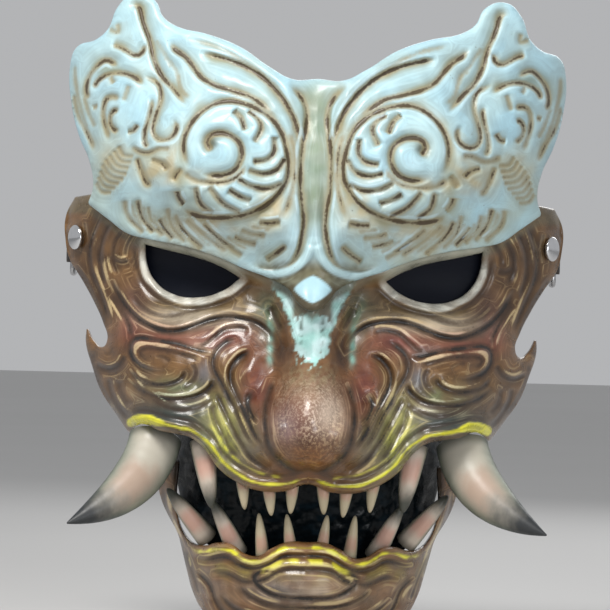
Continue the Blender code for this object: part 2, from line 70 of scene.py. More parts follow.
JAW_MIDDLE = ((-145, 50), (-132, 62), (-118, 67), (-106, 66), (-95, 56), (-80, 48), (-66, 46))
LINER_MIDDLE = ((-118, 35), (-95, 42), (-66, 48))
LINER_HALF_WIDTH, LINER_EDGE = 54.0, 4.0
ROUNDNESS, ROUND_END = 2.4, 0.85
BROW_EDGE = ((0, -14), (9, -6), (16, -2), (27, 2), (38, 6.5), (52, 10.5), (66, 13), (74, 15), (82, 20.5),
             (91, 26.5))
BROW_STEP, BROW_RISE = 7.0, 24.0

# Right halves of the front outlines: x and z, smooth except at the corners. The pad's is whole.
CREST_OUTLINE = (
    (0, 76), (10, 75.5), (19, 80), (31, 88), (44, 93), (56, 96), (62, 100), (66, 107), (74, 109.5),
    (80, 104.5), (84, 95.5), (89, 91.5), (97, 89), (99.5, 83), (98.5, 66), (95, 54), (90, 43), (88.5, 33),
    (90.5, 26.5, "corner"), (82, 20.5), (74, 15), (66, 13), (52, 10.5), (38, 6.5), (27, 2), (16, -2),
    (9, -6), (5.5, -11), (0, -14),
)
FACE_OUTLINE = (
    (0, 8), (14, 11), (30, 16), (52, 23), (72, 28), (86, 30), (97, 29, "corner"), (100.5, 22), (100.5, 12),
    (98.5, 4), (93, -4), (87.5, -13), (83.5, -21), (81.5, -28), (84, -31.5), (88, -29),
    (90.8, -24, "corner"), (91, -29), (88, -39), (84, -49), (78, -57), (72, -64.5, "corner"), (66, -60.5),
    (59, -62.5), (52, -63.5), (46, -65), (40, -70), (35, -76.5), (28, -81.5), (20, -84.5), (9, -84.5),
    (0, -81.5),
)
JAW_OUTLINE = (
    (0, -105.5), (7, -105.5), (13, -108), (19, -111.5), (24, -111), (30, -107.5), (35, -107.5),
    (40, -109.3), (45, -109), (49.6, -105), (52.4, -96), (52, -76, "corner"), (58, -74, "corner"),
    (60, -84), (58.5, -92), (55.5, -99), (52, -105), (49.5, -113), (47.5, -120), (45, -128), (40, -136),
    (32, -141), (17, -143.5), (0, -144),
)
LINER_OUTLINE = (
    (0, -70), (25, -69), (40, -63), (53, -62), (55.5, -70), (52.5, -86), (49, -97), (44, -105), (36, -111),
    (22, -116), (0, -116),
)
EYE_OUTLINE = (
    (67.5, 11, "corner"), (57, 8.5), (46, 6), (36, 2.5), (28, -2, "corner"), (35, -7.5), (46, -10.7),
    (55.5, -9.5), (62.5, -5), (66.5, 2),
)
LENS_OUTLINE = (
    (70, 11), (66, 13.5), (57, 11.5), (46, 9), (35, 5.5), (25.5, -1), (33.5, -10), (46, -13.7), (57, -12.3),
    (65, -7), (69, 1),
)
FOREHEAD_PAD_OUTLINE = (
    (40, 36), (42, 42), (36, 52), (0, 57), (-36, 52), (-42, 42), (-40, 36), (0, 40),
)

# Teeth of the right half: root and tip as x, z, depth, then the root radius
UPPER_TEETH = (
    ((6, -80, 65.5), (6.5, -94, 66), 3.0),
    ((15.5, -81, 63.5), (14, -95, 65), 3.0),
    ((26, -78, 60), (24.5, -93, 62), 3.0),
)
LOWER_TEETH = (((6, -109, 57), (8, -94.5, 57.5), 2.7), ((17, -112, 54), (19, -94.5, 55), 2.9))
UPPER_CANINE = ((42, -67, 52), (37.5, -93, 56), 5.2)
INNER_FANG = ((27, -111, 41), (38, -90, 47), 4.2)
OUTER_FANG = ((39.8, -106, 30.2), (56, -86.5, 36.5), 4.6)
TUSK = ((61, -66.5, 39.5), (63, -79, 46), (72, -91, 58), (93.5, -99.5, 72))
TUSK_RADIUS, TUSK_TAPER = 10.0, 3.2


# ---- Shape functions, as in the CAD model, on whole arrays ----


def through(keys, where):
    """A smooth curve through (position, value) keys, level beyond both ends."""
    places = np.array([key[0] for key in keys], float)
    values = np.array([key[1] for key in keys], float)
    slopes = np.gradient(values, places)
    where = np.clip(where, places[0], places[-1])
    i = np.clip(np.searchsorted(places, where) - 1, 0, len(places) - 2)
    span = places[i + 1] - places[i]
    t = (where - places[i]) / span
    return (
        values[i] * (1 + 2 * t) * (1 - t) ** 2
        + values[i + 1] * t**2 * (3 - 2 * t)
        + span * t * (1 - t) * (slopes[i] * (1 - t) - slopes[i + 1] * t)
    )


def rounded(across):
    """Cross-section from 1 at the middle to 0 at the edge, and straight on past it."""
    end = math.sqrt(1 - ROUND_END**ROUNDNESS)
    inside = np.minimum(np.abs(across), 1.0)
    level = (np.sqrt(1 - (ROUND_END * inside) ** ROUNDNESS) - end) / (1 - end)
    slope = ROUNDNESS * ROUND_END**ROUNDNESS / (2 * end * (1 - end))
    return level - slope * np.maximum(np.abs(across) - 1.0, 0.0)


def dome(x, z, x0, z0, reach_x, reach_z, height):
    """A smooth mound on both sides of the mask."""
    far = ((np.abs(x) - x0) / reach_x) ** 2 + ((z - z0) / reach_z) ** 2
    return height * np.clip(1 - far, 0, 1) ** 1.5


def ease(t):
    """0 below 0, 1 above 1, and smooth between."""
    t = np.clip(t, 0.0, 1.0)
    return t * t * (3 - 2 * t)


def plain_face_depth(x, z):
    """The face's rounded form with its nose bridge, before the other features."""
    edge = through(FACE_EDGE, z)
    depth = edge + (through(FACE_MIDDLE, z) - edge) * rounded(x / through(HALF_WIDTH, z))
    return depth + dome(x, z, 0, -16, 17, 44, 14)


def face_depth(x, z):
    """The face's outer surface, before it is carved."""
    depth = plain_face_depth(x, z)
    depth = depth + dome(x, z, 0, -58, 24, 26, 24)
    depth = depth + dome(x, z, 20, -63, 13, 14, 9)
    depth = depth - dome(x, z, 47, 0, 34, 22, 7)
    depth = depth + dome(x, z, 58, -34, 30, 22, 7)
    return depth + dome(x, z, 60, -58, 24, 18, 12)


def crest_depth(x, z):
    """The brow crest's outer surface, before it is carved."""
    edge = through(CREST_EDGE, z)
    swollen = edge + (through(CREST_MIDDLE, z) - edge) * rounded(x / through(HALF_WIDTH, z))
    at_edge = plain_face_depth(x, z) + BROW_STEP
    depth = at_edge + (swollen - at_edge) * ease((z - through(BROW_EDGE, np.abs(x))) / BROW_RISE)
    depth = depth + dome(x, z, 41, 50, 34, 34, 7)
    depth = depth + dome(x, z, 83, 70, 20, 24, 4)
    return depth - dome(x, z, 0, 60, 12, 70, 5)


def jaw_depth(x, z):
    """The jaw's outer surface, before it is carved."""
    edge = through(JAW_EDGE, z)
    depth = edge + (through(JAW_MIDDLE, z) - edge) * rounded(x / through(JAW_WIDTH, z))
    return depth + dome(x, z, 0, -120, 26, 14, 4)


def liner_depth(x, z):
    """Front surface of the dark lining inside the mouth."""
    return LINER_EDGE + (through(LINER_MIDDLE, z) - LINER_EDGE) * rounded(x / LINER_HALF_WIDTH)


def behind(depth, wall):
    """The depth function of a surface that lies a wall's thickness behind another."""

    def deeper(x, z):
        step = 1.5
        slope_x = (depth(x + step, z) - depth(x - step, z)) / (2 * step)
        slope_z = (depth(x, z + step) - depth(x, z - step)) / (2 * step)
        return depth(x, z) - wall * np.sqrt(1 + slope_x**2 + slope_z**2)

    return deeper


def flange_depth(x, z):
    """The face, which follows the crest's inner side where it runs up behind it."""
    face = face_depth(x, z)
    pressed = behind(crest_depth, WALL + JOIN_GAP)(x, z)
    over_edge = z - through(BROW_EDGE, np.abs(x))
    face = face + (np.minimum(face, pressed) - face) * ease((over_edge + 11) / 5)
    return face + (pressed - face) * ease((over_edge + 7) / 6)


# ---- Lines in the front plane ----


def smooth_line(points, spacing=1.2):
    """A Catmull-Rom line through points, sampled about every spacing."""
    points = np.array(points, float)
    padded = np.vstack([2 * points[0] - points[1], points, 2 * points[-1] - points[-2]])
    pieces = []
    for i in range(len(points) - 1):
        p0, p1, p2, p3 = padded[i : i + 4]
        count = max(int(np.linalg.norm(p2 - p1) / spacing), 2)
        t = np.linspace(0, 1, count, endpoint=False)[:, None]
        bend = 2 * p0 - 5 * p1 + 4 * p2 - p3
        twist = 3 * (p1 - p2) + p3 - p0
        pieces.append(p1 + 0.5 * (t * (p2 - p0) + t**2 * bend + t**3 * twist))
    return np.vstack(pieces + [points[-1:]])


def polar(centre, angle, radius):
    """Points at angles in degrees and radii round a centre."""
    angle = np.radians(angle)
    return np.stack([centre[0] + radius * np.cos(angle), centre[1] + radius * np.sin(angle)], axis=-1)


def outline_loop(points, segments=10):
    """A closed outline that passes smoothly through its points, sharp at its corners."""
    curve = bpy.data.curves.new("outline", "CURVE")
    curve.dimensions = "2D"
    curve.fill_mode = "NONE"
    curve.resolution_u = segments
    spline = curve.splines.new("BEZIER")
    spline.bezier_points.add(len(points) - 1)
    for point, (x, z, *corner) in zip(spline.bezier_points, points):
        point.co = (x, z, 0)
        point.handle_left_type = point.handle_right_type = "VECTOR" if corner else "AUTO"
    spline.use_cyclic_u = True
    holder = bpy.data.objects.new("outline", curve)
    bpy.context.scene.collection.objects.link(holder)
    bpy.context.view_layer.update()
    mesh = holder.evaluated_get(bpy.context.evaluated_depsgraph_get()).to_mesh()
    loop = np.array([(vertex.co.x, vertex.co.y) for vertex in mesh.vertices])
    bpy.data.objects.remove(holder)
    bpy.data.curves.remove(curve)
    return np.vstack([loop, loop[:1]])


def both_sides(half):
    """A closed outline from the right half of one that is symmetric about x = 0."""
    return list(half) + [(-x, z, *corner) for x, z, *corner in reversed(half) if x > 0]


def mirrored(outline, side):
    """An outline of the right half on the given side."""
    return [(x * side, z, *corner) for x, z, *corner in outline]


def nearest(line, x, z):
    """Distance to a line (positive on its left), the way along it (0 to 1) and the nearest point."""
    steps = np.linalg.norm(np.diff(line, axis=0), axis=1)
    starts = np.concatenate([[0], np.cumsum(steps)])
    best = np.full(x.shape, 1e9)
    along = np.zeros(x.shape)
    near_x = np.zeros(x.shape)
    near_z = np.zeros(x.shape)
    left = np.ones(x.shape)
    for i in range(len(steps)):
        if steps[i] < 1e-9:
            continue
        ax, az = line[i]
        dx, dz = line[i + 1] - line[i]
        t = np.clip(((x - ax) * dx + (z - az) * dz) / steps[i] ** 2, 0, 1)
        px = ax + t * dx
        pz = az + t * dz
        far = (x - px) ** 2 + (z - pz) ** 2
        closer = far < best
        best = np.where(closer, far, best)
        along = np.where(closer, (starts[i] + t * steps[i]) / starts[-1], along)
        near_x = np.where(closer, px, near_x)
        near_z = np.where(closer, pz, near_z)
        left = np.where(closer, np.sign(dx * (z - az) - dz * (x - ax)), left)
    return np.sqrt(best) * np.where(left < 0, -1, 1), along, near_x, near_z


def inside_loops(loops, x, z):
    """Whether each place lies inside the first loop and outside the others."""
    inside = np.zeros(x.shape, bool)
    for loop in loops:
        for (ax, az), (bx, bz) in zip(loop[:-1], loop[1:]):
            if az == bz:
                continue
            crosses = ((az > z) != (bz > z)) & (x < ax + (z - az) / (bz - az) * (bx - ax))
            inside ^= crosses
    return inside


FLOW_REACH = 9.0  # strokes of paint follow a carved line this far to its sides, in millimetres


def keep_most(field, near, value):
    """Keep the larger of a field and a value at the places near a stroke."""
    field[near] = np.maximum(field[near], value)


class Carving:
    """Relief and paint marks on a grid of places, gathered stroke by stroke on |x|."""

    def __init__(self, x, z):
        self.x = np.abs(x)
        self.z = z
        self.cut = np.zeros(x.shape)
        self.raised = np.zeros(x.shape)
        self.line = np.zeros(x.shape)
        # tone: the wash round each cut together with painted shade beside it; crest: painted highlight lines
        # along lips and ridge tops
        self.tone = np.zeros(x.shape)
        self.crest = np.zeros(x.shape)
        self.flow = np.full(x.shape, FLOW_REACH)
        self.pressure = 0.8 + 0.2 * waves(x, z, 11, 7)
        self.glint = 0.35 + 0.65 * waves(x, z, 17, 9)

    def measure(self, points, reach, taper):
        """The places near a line, their distances from it, and its weight, which tapers at both ends."""
        line = smooth_line(points)
        low = line.min(axis=0) - reach
        high = line.max(axis=0) + reach
        near = (self.x > low[0]) & (self.x < high[0]) & (self.z > low[1]) & (self.z < high[1])
        signed, along, _, _ = nearest(line, self.x[near], self.z[near])
        start, end = (max(share, 1e-6) for share in taper)
        return near, signed, ease(along / start) * ease((1 - along) / end)

    def groove(self, points, depth, reach, steep, taper=(0.12, 0.2)):
        """A carved line. The surface swells up beside it, steeply on the left (steep 1) or right (-1) side,
        where it ends in a lip, or evenly on both sides (0).
        """
        near, signed, weight = self.measure(points, FLOW_REACH, taper)
        far = np.sqrt(signed**2 + 0.2) - 0.447
        on_steep = signed * steep > 0
        width = reach if not steep else np.where(on_steep, min(1.5, reach), 1.6 * reach)
        swell = np.clip(1 - far / width, 0, 1) ** 1.8
        keep_most(self.cut, near, depth * weight * swell)
        self.flow[near] = np.minimum(self.flow[near], far + 4 * (1 - np.clip(4 * weight, 0, 1)))
        strength = np.clip(0.5 + depth / 4, 0.5, 1.1) * weight * self.pressure[near]
        if steep:
            lip = np.where(on_steep, np.exp(-(((far - 2.3) / 2.0) ** 2)), 0.0)
            keep_most(self.raised, near, 0.2 * depth * weight * lip)
            # painted highlight: a light line along the edge of the lip, broken up by glint
            edge = np.where(on_steep, np.clip(1 - np.abs(far - 1.6) / 1.5, 0, 1), 0.0)
            keep_most(self.crest, near, weight * edge * self.glint[near])
        # the line is the dark wash at the bottom of the cut; the tone is the wash round it with painted
        # shade, reaching further on the gentle side
        shade_reach = np.where(on_steep, 1.2, 3.6) if steep else 2.2
        keep_most(self.line, near, strength * np.clip(1 - far / 2.2, 0, 1))
        keep_most(self.tone, near, strength * np.exp(-far / shade_reach))

    def ridge(self, points, height, half_width, taper=(0.15, 0.2)):
        """A raised strand."""
        near, signed, weight = self.measure(points, half_width + 1, taper)
        bump = np.clip(1 - (signed / half_width) ** 2, 0, 1)
        keep_most(self.raised, near, height * weight * bump)
        # painted highlight: a thin light line along the top of the strand, broken up by glint
        keep_most(self.crest, near, 0.7 * weight * bump**12 * self.glint[near])

    def relief(self):
        return self.raised - self.cut


# ---- Carving of each shell, right half ----

SPIRAL_INNER = (
    (40, 46), (42.5, 50), (40.5, 53.2), (35, 53.5), (30.2, 50.5), (28.8, 45.5), (31, 40), (36, 37.3),
    (42, 37.4), (47, 38.8),
)
SPIRAL_OUTER = (
    (46, 38), (50, 42), (51.6, 47.5), (51, 53), (48, 58.8), (42.5, 64), (35.5, 66.4), (27.5, 65.3),
    (20, 61.6), (14.5, 56), (11.6, 48), (10.6, 41), (12, 34.5), (18, 27), (27, 22.4), (38, 21), (47, 22),
    (53.5, 26),
)
PETALS = (
    ((32.7, 62.7), (29.7, 59.9), (27.7, 54.6)),
    ((27.2, 62.8), (23.3, 60.1), (21.6, 56), (24.6, 49.9)),
    ((16.6, 53.2), (16.4, 47), (19.6, 43.8), (25.2, 42.9)),
    ((11.9, 44.9), (15, 40.2), (20.5, 38.4), (27, 39.8)),
    ((12.6, 34.9), (18.5, 32.7), (25, 33.5), (31, 36.6)),
    ((24.7, 28), (29.6, 29.6), (34, 32.2)),
    ((28.8, 22.9), (36, 26.8), (41.6, 33.4)),
    ((39.7, 22.3), (45, 26.8), (46.6, 33.4)),
    ((51.2, 25.8), (53.4, 29), (53.8, 31.6)),
)
HAIR = (
    ((75.2, 28.5), (74, 21.5), (66.5, 13.9)),
    ((70.1, 28.6), (68.2, 21), (62.6, 14)),
    ((66, 26), (64, 19), (58.5, 13)),
    ((61.5, 21.1), (59.5, 17), (54.9, 12)),
    ((57.8, 25.7), (56, 17.5), (49.7, 10.4)),
    ((55.2, 23.2), (51.5, 16), (42.5, 8.1)),
    ((51.2, 21.4), (43, 14), (32.9, 7.4)),
    ((44.5, 19.5), (37.5, 13.2), (29.8, 8)),
    ((38.9, 15.2), (33.5, 10), (27, 6)),
    ((31.8, 14.1), (27.2, 12.2), (21.7, 11.2)),
    ((29.2, 16.8), (24.5, 15), (18.2, 14.6)),
    ((22.2, 19.5), (17.7, 19.3), (12.6, 20.1)),
)

# Each groove: its points (x, z), its depth and reach, and which side of it stands up as a lip:
# 1 for the left, -1 for the right and 0 for neither
CREST_GROOVES = (
    # channel wall and the two lines beside it
    (((14, 76), (6.5, 69), (4, 61), (5.6, 48), (5.8, 33), (4.2, 20), (6.5, 8), (11, 2), (19, 0)),
     2.2, 3.4, 1),
    (((54, 92), (41, 88.5), (30, 83), (21, 77), (14, 70), (9.5, 60), (8.3, 45)), 0.9, 2.0, 0),
    (((48.7, 85.8), (42, 85), (34, 82.7), (27, 79.8), (20, 75), (13.5, 68), (9, 60), (6.9, 52), (6.3, 43)),
     2.5, 4.0, -1),
    (((11, 57), (8.6, 47), (8.4, 36), (10.5, 26), (13.5, 19)), 1.6, 3.4, 0),
    (((52.5, 39), (47, 35.3), (40, 34.3), (33, 35.5), (28.5, 39), (26.6, 44.5)), 1.7, 3.6, 0),
    # long strands from the ear to the spiral
    (((60, 92.5), (57, 87.5), (52.5, 84.3), (49, 80), (45.5, 75.7), (40, 72.6), (32.5, 70.4), (25, 67.8),
      (18, 62.5), (12.5, 57.5)), 2.4, 3.8, 1),
    (((77, 105.5), (72, 104.5), (69.8, 98), (67, 91), (65, 83.5), (61.5, 76.5), (56, 70.5), (49, 61.7)),
     2.3, 3.6, 1),
    (((62, 86), (56, 79), (53.5, 71), (48, 66)), 0.9, 2.4, 0),
    (((65, 92), (60.5, 85), (57, 78)), 0.8, 2.2, 0),
    # ear pad
    (((83, 89.4), (78.7, 88.3), (73, 85), (69.8, 86), (68.2, 91)), 2.0, 3.0, 1),
    (((84, 96), (80, 94.5), (80.5, 99)), 1.0, 2.2, 0),
    # small curl and its tail
    (((58.3, 59.8), (55.5, 58.3), (54.7, 55.2), (56.7, 52), (60, 50.8), (63, 52), (64.5, 55.5),
      (63.5, 60.5), (62, 65), (61.5, 69.5), (63, 73.5), (67, 75.8), (72.3, 78.4)), 2.0, 2.6, -1),
    (((64.8, 47.4), (67.4, 50), (67.5, 54.5), (66.3, 59), (65, 65), (66, 69.5)), 2.0, 2.6, -1),
    # ear boss: nested arches
    (((90.7, 66.7), (92.4, 71.5), (91.3, 77), (87.5, 81.6), (83.5, 83), (77.5, 78.8)), 2.0, 3.0, 1),
    (((89.8, 70.6), (87.4, 75.2), (82.5, 77.6), (77, 77.7), (72, 75.7), (67, 72)), 2.1, 2.8, 1),
    (((77.5, 66.4), (80, 68.3), (83.3, 67.9), (84.9, 64.5), (84.5, 59), (81.6, 49.5)), 1.8, 2.6, 0),
    (((78, 62.5), (80.3, 62.8), (82, 60.5), (81.8, 57.3), (79.8, 55.1), (77.2, 55.5)), 2.0, 1.7, 0),
    (((74.9, 54.2), (72.1, 55), (70.2, 57.9)), 1.9, 2.2, 0),
    (((74.5, 73.5), (75.5, 70), (77, 66)), 0.9, 2.2, 0),
    (((82.3, 76.6), (81.6, 75), (80.7, 73.4)), 1.5, 2.0, 0),
    (((89.6, 64.2), (88.4, 64.6), (87, 64.8)), 1.5, 2.0, 0),
    (((98.5, 72), (96, 62), (91, 53), (87.5, 45)), 1.6, 3.0, 1),
    (((97.8, 84), (97.3, 75), (94, 62), (89.6, 52)), 1.0, 2.4, 0),
    (((93.8, 70), (91, 62), (87.5, 55)), 0.9, 2.4, 0),
    # angular fold beside the rope coil
    (((56, 47.5), (61, 47.6), (66, 46), (70.5, 47), (74, 50)), 1.5, 3.0, 1),
    (((65, 43.5), (60, 41.4), (57.5, 38.3)), 2.0, 2.2, 0),
    (((70.8, 45), (69.1, 40), (66.3, 34), (63, 32.8)), 1.9, 2.4, 0),
    (((52, 40), (54.2, 37.4), (55.8, 34.4)), 1.6, 2.2, 0),
    # slot in the band beside the channel
    (((19.3, 4.8), (14.2, 8.1), (9.8, 11.8)), 2.0, 2.6, 0),
)
ROPE_AXIS = ((75, 47), (84, 33))
ROPE_TURNS, ROPE_HALF = 8, 6.5


# the raised band round the boss between the brows
BOSS_BAND = ((0.9, 13), (2.6, 7), (7, 2.4), (13, 0), (20, -0.2), (27, 2.6))


def crest_strokes(art):
    """Scrolls, petals, strands and hair of the brow crest."""
    art.groove(SPIRAL_INNER, 2.8, 4.0, 0, (0.05, 0.2))
    art.groove(SPIRAL_OUTER, 2.8, 4.4, 1, (0.1, 0.06))
    for petal in PETALS:
        art.groove(petal, 2.0, 2.8, 1, (0.04, 0.08))
    for points, depth, reach, steep in CREST_GROOVES:
        art.groove(points, depth, reach, steep)
    for k, strand in enumerate(HAIR):
        art.groove(strand, 1.8 if k % 2 else 1.4, 2.4, -1, (0.1, 0.14))
    for first, second in zip(HAIR[:-1], HAIR[1:]):
        art.groove((np.array(first) + np.array(second)) / 2, 0.8, 1.7, 0, (0.2, 0.25))
    start, end = np.array(ROPE_AXIS, float)
    axis = (end - start) / np.linalg.norm(end - start)
    side = np.array([-axis[1], axis[0]])
    for k in range(ROPE_TURNS):
        middle = start + (end - start) * k / (ROPE_TURNS - 1)
        half = ROPE_HALF * (1 - 0.35 * abs(2 * k / (ROPE_TURNS - 1) - 1))
        bowed = (middle - side * half, middle + axis * 2.2, middle + side * half)
        art.groove(bowed, 1.3, 1.5, 0, (0.1, 0.1))
    # forked spear in the channel, and the boss below it
    art.ridge(((0, 46), (0.3, 32), (0.6, 18), (0.6, 9)), 1.3, 2.6, (0.6, 0.1))
    art.ridge(BOSS_BAND, 1.7, 2.4, (0.1, 0.2))


FACE_GROOVES = (
    # crease under the lid, and the edge of the bag below the eye
    (((73, -9), (67, -15), (59, -17.8), (50.5, -16.6), (43.5, -14.2), (36.5, -12.6), (29, -11)),
     1.2, 2.6, 0),
    (((82, -1), (78.5, -8.5), (74, -15), (67.5, -20.3), (59, -23.6), (52, -23.4), (46, -21.3), (40, -19),
      (34, -17.8), (26.5, -18.3), (20.5, -20.3), (16, -24.2), (13.8, -28.5), (12.6, -34)), 2.7, 3.4, -1),
    (((81, -9), (76, -16), (72.5, -23), (71.8, -29)), 1.7, 2.6, 1),
    (((79, -11.5), (75, -18), (70, -25)), 1.0, 2.0, 0),
    # leaf-shaped cheek swirl
    (((36, -32), (44, -31), (52.5, -28.8), (61, -27.6), (68, -26.8), (71.5, -29), (71.3, -34), (67.5, -38),
      (61, -40), (55, -39.8)), 2.5, 3.2, -1),
    (((42, -35), (50, -32.8), (58, -31.2), (65, -30.8), (68, -32.5), (66, -35), (61, -36.6)), 1.7, 2.6, 1),
    (((55, -35.8), (58, -34), (62, -33.6)), 1.0, 1.8, 0),
    (((49.5, -38), (50.5, -42), (55, -44.5), (61.5, -45), (68.5, -43), (73, -37.5)), 2.2, 3.0, 1),
    (((47, -35.5), (45, -39), (46.2, -43), (51, -46.6)), 1.4, 2.4, 0),
    (((37.5, -39.5), (39, -45), (44.5, -49), (53, -50.5), (61, -49.6), (68.5, -46.4), (75, -41)),
     2.3, 3.4, 1),
    (((35.5, -47.5), (41.5, -52.4), (50, -54.6), (58.5, -52.5), (65, -47.5), (70, -41)), 1.2, 2.6, 1),
    # lines round the nose
    (((23, -23), (28, -21.4), (34, -22.4), (38.5, -26), (42.5, -29), (48, -28.6)), 1.9, 2.8, 1),
    (((27, -25.5), (33, -27.2), (37.6, -31.8), (38, -38), (34, -45), (31.5, -50), (27.5, -57), (24, -64),
      (18, -71.5)), 2.3, 3.2, 0),
    (((21.5, -31), (27, -32.4), (31, -37), (31.4, -42.5), (28.5, -49), (24.5, -56.5), (21, -63),
      (15.5, -70.5)), 2.6, 3.4, 1),
    (((38, -45.5), (34.8, -52), (31.6, -58), (27.5, -65), (21.5, -73), (13, -78)), 1.9, 3.0, 1),
    (((38.5, -50), (37.5, -56), (35, -62), (31.5, -68.5), (26, -74)), 1.5, 2.6, 1),
    (((13.4, -40), (15.6, -46), (17.2, -52), (17.2, -59), (15.5, -67), (11, -73), (5, -76.6), (-3, -77.6)),
     2.3, 4.2, 0),
    (((17.2, -13), (14.2, -18), (11.6, -22.5)), 1.4, 2.6, 1),
    # temple tab
    (((84.5, 24), (88, 16.5), (90.3, 8), (89.3, 0), (86, -8), (82.5, -17), (80.5, -25)), 1.9, 3.0, -1),
    (((81, 20), (84.5, 13), (86, 5), (84.5, -3), (81.5, -9)), 1.8, 2.8, -1),
    (((97.5, 2), (93, -3), (88.5, -10), (85, -18), (82, -25)), 1.3, 2.4, 0),
    (((93, 20), (92, 14), (92.5, 6)), 0.9, 2.4, 0),
    (((76, 16.5), (79.5, 11), (80.2, 4), (77.6, -3)), 1.7, 2.8, 1),
    (((71.5, 15), (74.5, 10), (75.5, 4.5)), 1.2, 2.2, 0),
    (((73.5, 4), (77, 3), (82, 5.5)), 1.6, 2.2, 1),
    # lower cheek
    (((73.5, -33), (76.5, -38), (82, -39.8), (88.5, -37)), 2.0, 3.2, 1),
    (((88.5, -32), (87.5, -40), (83, -49), (77, -57)), 1.2, 2.6, 0),
    (((81, -42.5), (80, -48.5), (75.5, -55.5), (70.5, -59)), 1.6, 2.8, -1),
    (((76.5, -43.5), (75.5, -49), (71, -54.5)), 1.1, 2.4, 0),
)
FACE_RIDGES = (
    # wing of the nose
    (((19, -37), (24, -37.5), (27.5, -42), (26.5, -49), (23, -56), (19.5, -63), (14, -70)), 1.0, 4.0),
    # V on the bridge
    (((15.5, -6), (12, -14), (8.8, -22), (6.5, -31)), 1.3, 3.6),
)
LIP_LINE = (
    (71, -60.5), (64.5, -58.6), (58, -60), (51.5, -61.3), (45.5, -62.6), (38.6, -67.6), (33.4, -74.2),
    (27, -79), (19.5, -82), (9, -82), (0, -79.2), (-6, -80),
)
LIP_INNER = ((44, -56), (37, -62), (31.5, -70), (25.5, -75), (18, -78.3), (10, -79.5))
NOSTRIL = ((21.5, -45), (24.5, -50), (22.5, -56), (18.5, -59))


def face_strokes(art):
    """Wrinkles, swirls, nose and lips of the face."""
    for points, depth, reach, steep in FACE_GROOVES:
        art.groove(points, 0.8 * depth, 1.25 * reach, steep)
    for points, height, half_width in FACE_RIDGES:
        art.ridge(points, height, half_width)
    art.groove(NOSTRIL, 2.6, 5.0, 0, (0.3, 0.3))
    art.ridge(LIP_LINE, 1.3, 2.6, (0.02, 0.0))
    art.ridge(LIP_INNER, 0.9, 2.2, (0.25, 0.2))
    art.groove([(x, z + 3.4) for x, z in LIP_LINE], 0.8, 3.0, 0, (0.05, 0.0))


JAW_LIP = (
    (-5, -107.3), (7, -107.3), (13, -110), (18.5, -113), (24, -112.8), (30, -109.5), (35, -109.5),
    (40, -111.2), (45, -110.9), (50.6, -106.5), (54, -97), (54.5, -86), (54.5, -78),
)
JAW_BAND = ((-5, -112.5), (8, -112.6), (15, -116), (23, -117.8), (31, -115), (38, -116.8), (44, -116.2))
JAW_GROOVES = (
    (((-4, -110.4), (8, -110.6), (14, -113.6), (20, -116), (26, -115.2), (32, -112.6), (40, -114.6),
      (46, -113.8)), 1.6, 2.4, 1),
    (((-4, -115.6), (9, -116), (16, -120), (24, -121.6), (32, -119), (40, -121)), 1.5, 2.8, 1),
    (((-4, -127), (9, -126.6), (16, -124.4), (20, -120.6), (18, -117.2), (10, -116.4)), 2.1, 3.0, 1),
    (((-4, -131), (12, -130.4), (22, -127), (27, -121.5)), 1.6, 3.0, 1),
    (((-4, -137), (14, -136.5), (27, -133), (36, -126)), 1.4, 3.2, 1),
    (((30, -138), (35, -132), (38.5, -124), (45, -119)), 1.6, 3.0, -1),
    (((47, -122), (50, -112), (54.5, -103), (57.5, -93), (58.5, -83)), 1.5, 2.6, 1),
    (((42, -130), (45.5, -120), (50, -110)), 1.1, 2.4, 0),
)


def jaw_strokes(art):
    """Lower lip, chin boss and wrinkles of the jaw."""
    for points, depth, reach, steep in JAW_GROOVES:
        art.groove(points, depth, reach, steep)
    art.ridge(JAW_LIP, 1.5, 2.8, (0.0, 0.2))
    art.ridge(JAW_BAND, 0.8, 2.2, (0.0, 0.2))


# ---- Colour ----


def colour(red, green, blue):
    """A display colour (0 to 255) as linear values."""
    value = np.array([red, green, blue]) / 255
    return np.where(value <= 0.04045, value / 12.92, ((value + 0.055) / 1.055) ** 2.4)


def waves(x, z, size, seed):
    """Slow, cloudy variation between 0 and 1 with features of about the given size."""
    rng = np.random.default_rng(seed)
    total = np.zeros(np.shape(x))
    for _ in range(14):
        angle, phase, pace = rng.uniform(0, 2 * math.pi), rng.uniform(0, 2 * math.pi), rng.uniform(0.6, 1.6)
        way = x * math.cos(angle) + z * math.sin(angle)
        total = total + np.sin(way * 2 * math.pi * pace / size + phase)
    return 0.5 + 0.5 * np.tanh(total / 3.2)


def tint(base, new, weight):
    """Mix a colour into an array of colours."""
    return base + (np.asarray(new) - base) * np.clip(weight, 0, 1)[..., None]


def spot(x, z, x0, z0, reach_x, reach_z):
    """Weight of a soft round patch."""
    return np.exp(-(((x - x0) / reach_x) ** 2) - ((z - z0) / reach_z) ** 2)


def patches(x, z):
    """Short forms at places x, z of a soft patch on both sides of the mask, and of cloudy variation."""
    return partial(spot, np.abs(x), z), partial(waves, x, z)


def layered(x, ground, *layers):
    """A ground colour at every place, tinted with pairs of a colour and a weight.

    A colour in a tuple is a display colour.
    """
    base = np.broadcast_to(ground, x.shape + (3,))
    for tone, weight in layers:
        base = tint(base, colour(*tone) if isinstance(tone, tuple) else tone, weight)
    return base


IVORY = colour(196, 226, 234)
IVORY_LIGHT = colour(226, 242, 246)
CREST_FILTER = np.array([0.83, 0.95, 1.0])  # makes the whole crest a little bluer
BRONZE = colour(122, 88, 52)
BRONZE_DARK = colour(66, 44, 28)
GOLD_CREAM = colour(204, 180, 134)
PINK = colour(150, 78, 70)
YELLOW = colour(232, 226, 50)
YELLOW_LIGHT = colour(240, 238, 120)
BRIDGE_HALF_WIDTH = ((-40, 3.5), (-33, 6.2), (-26, 7.4), (-14, 11.5), (-4, 17))


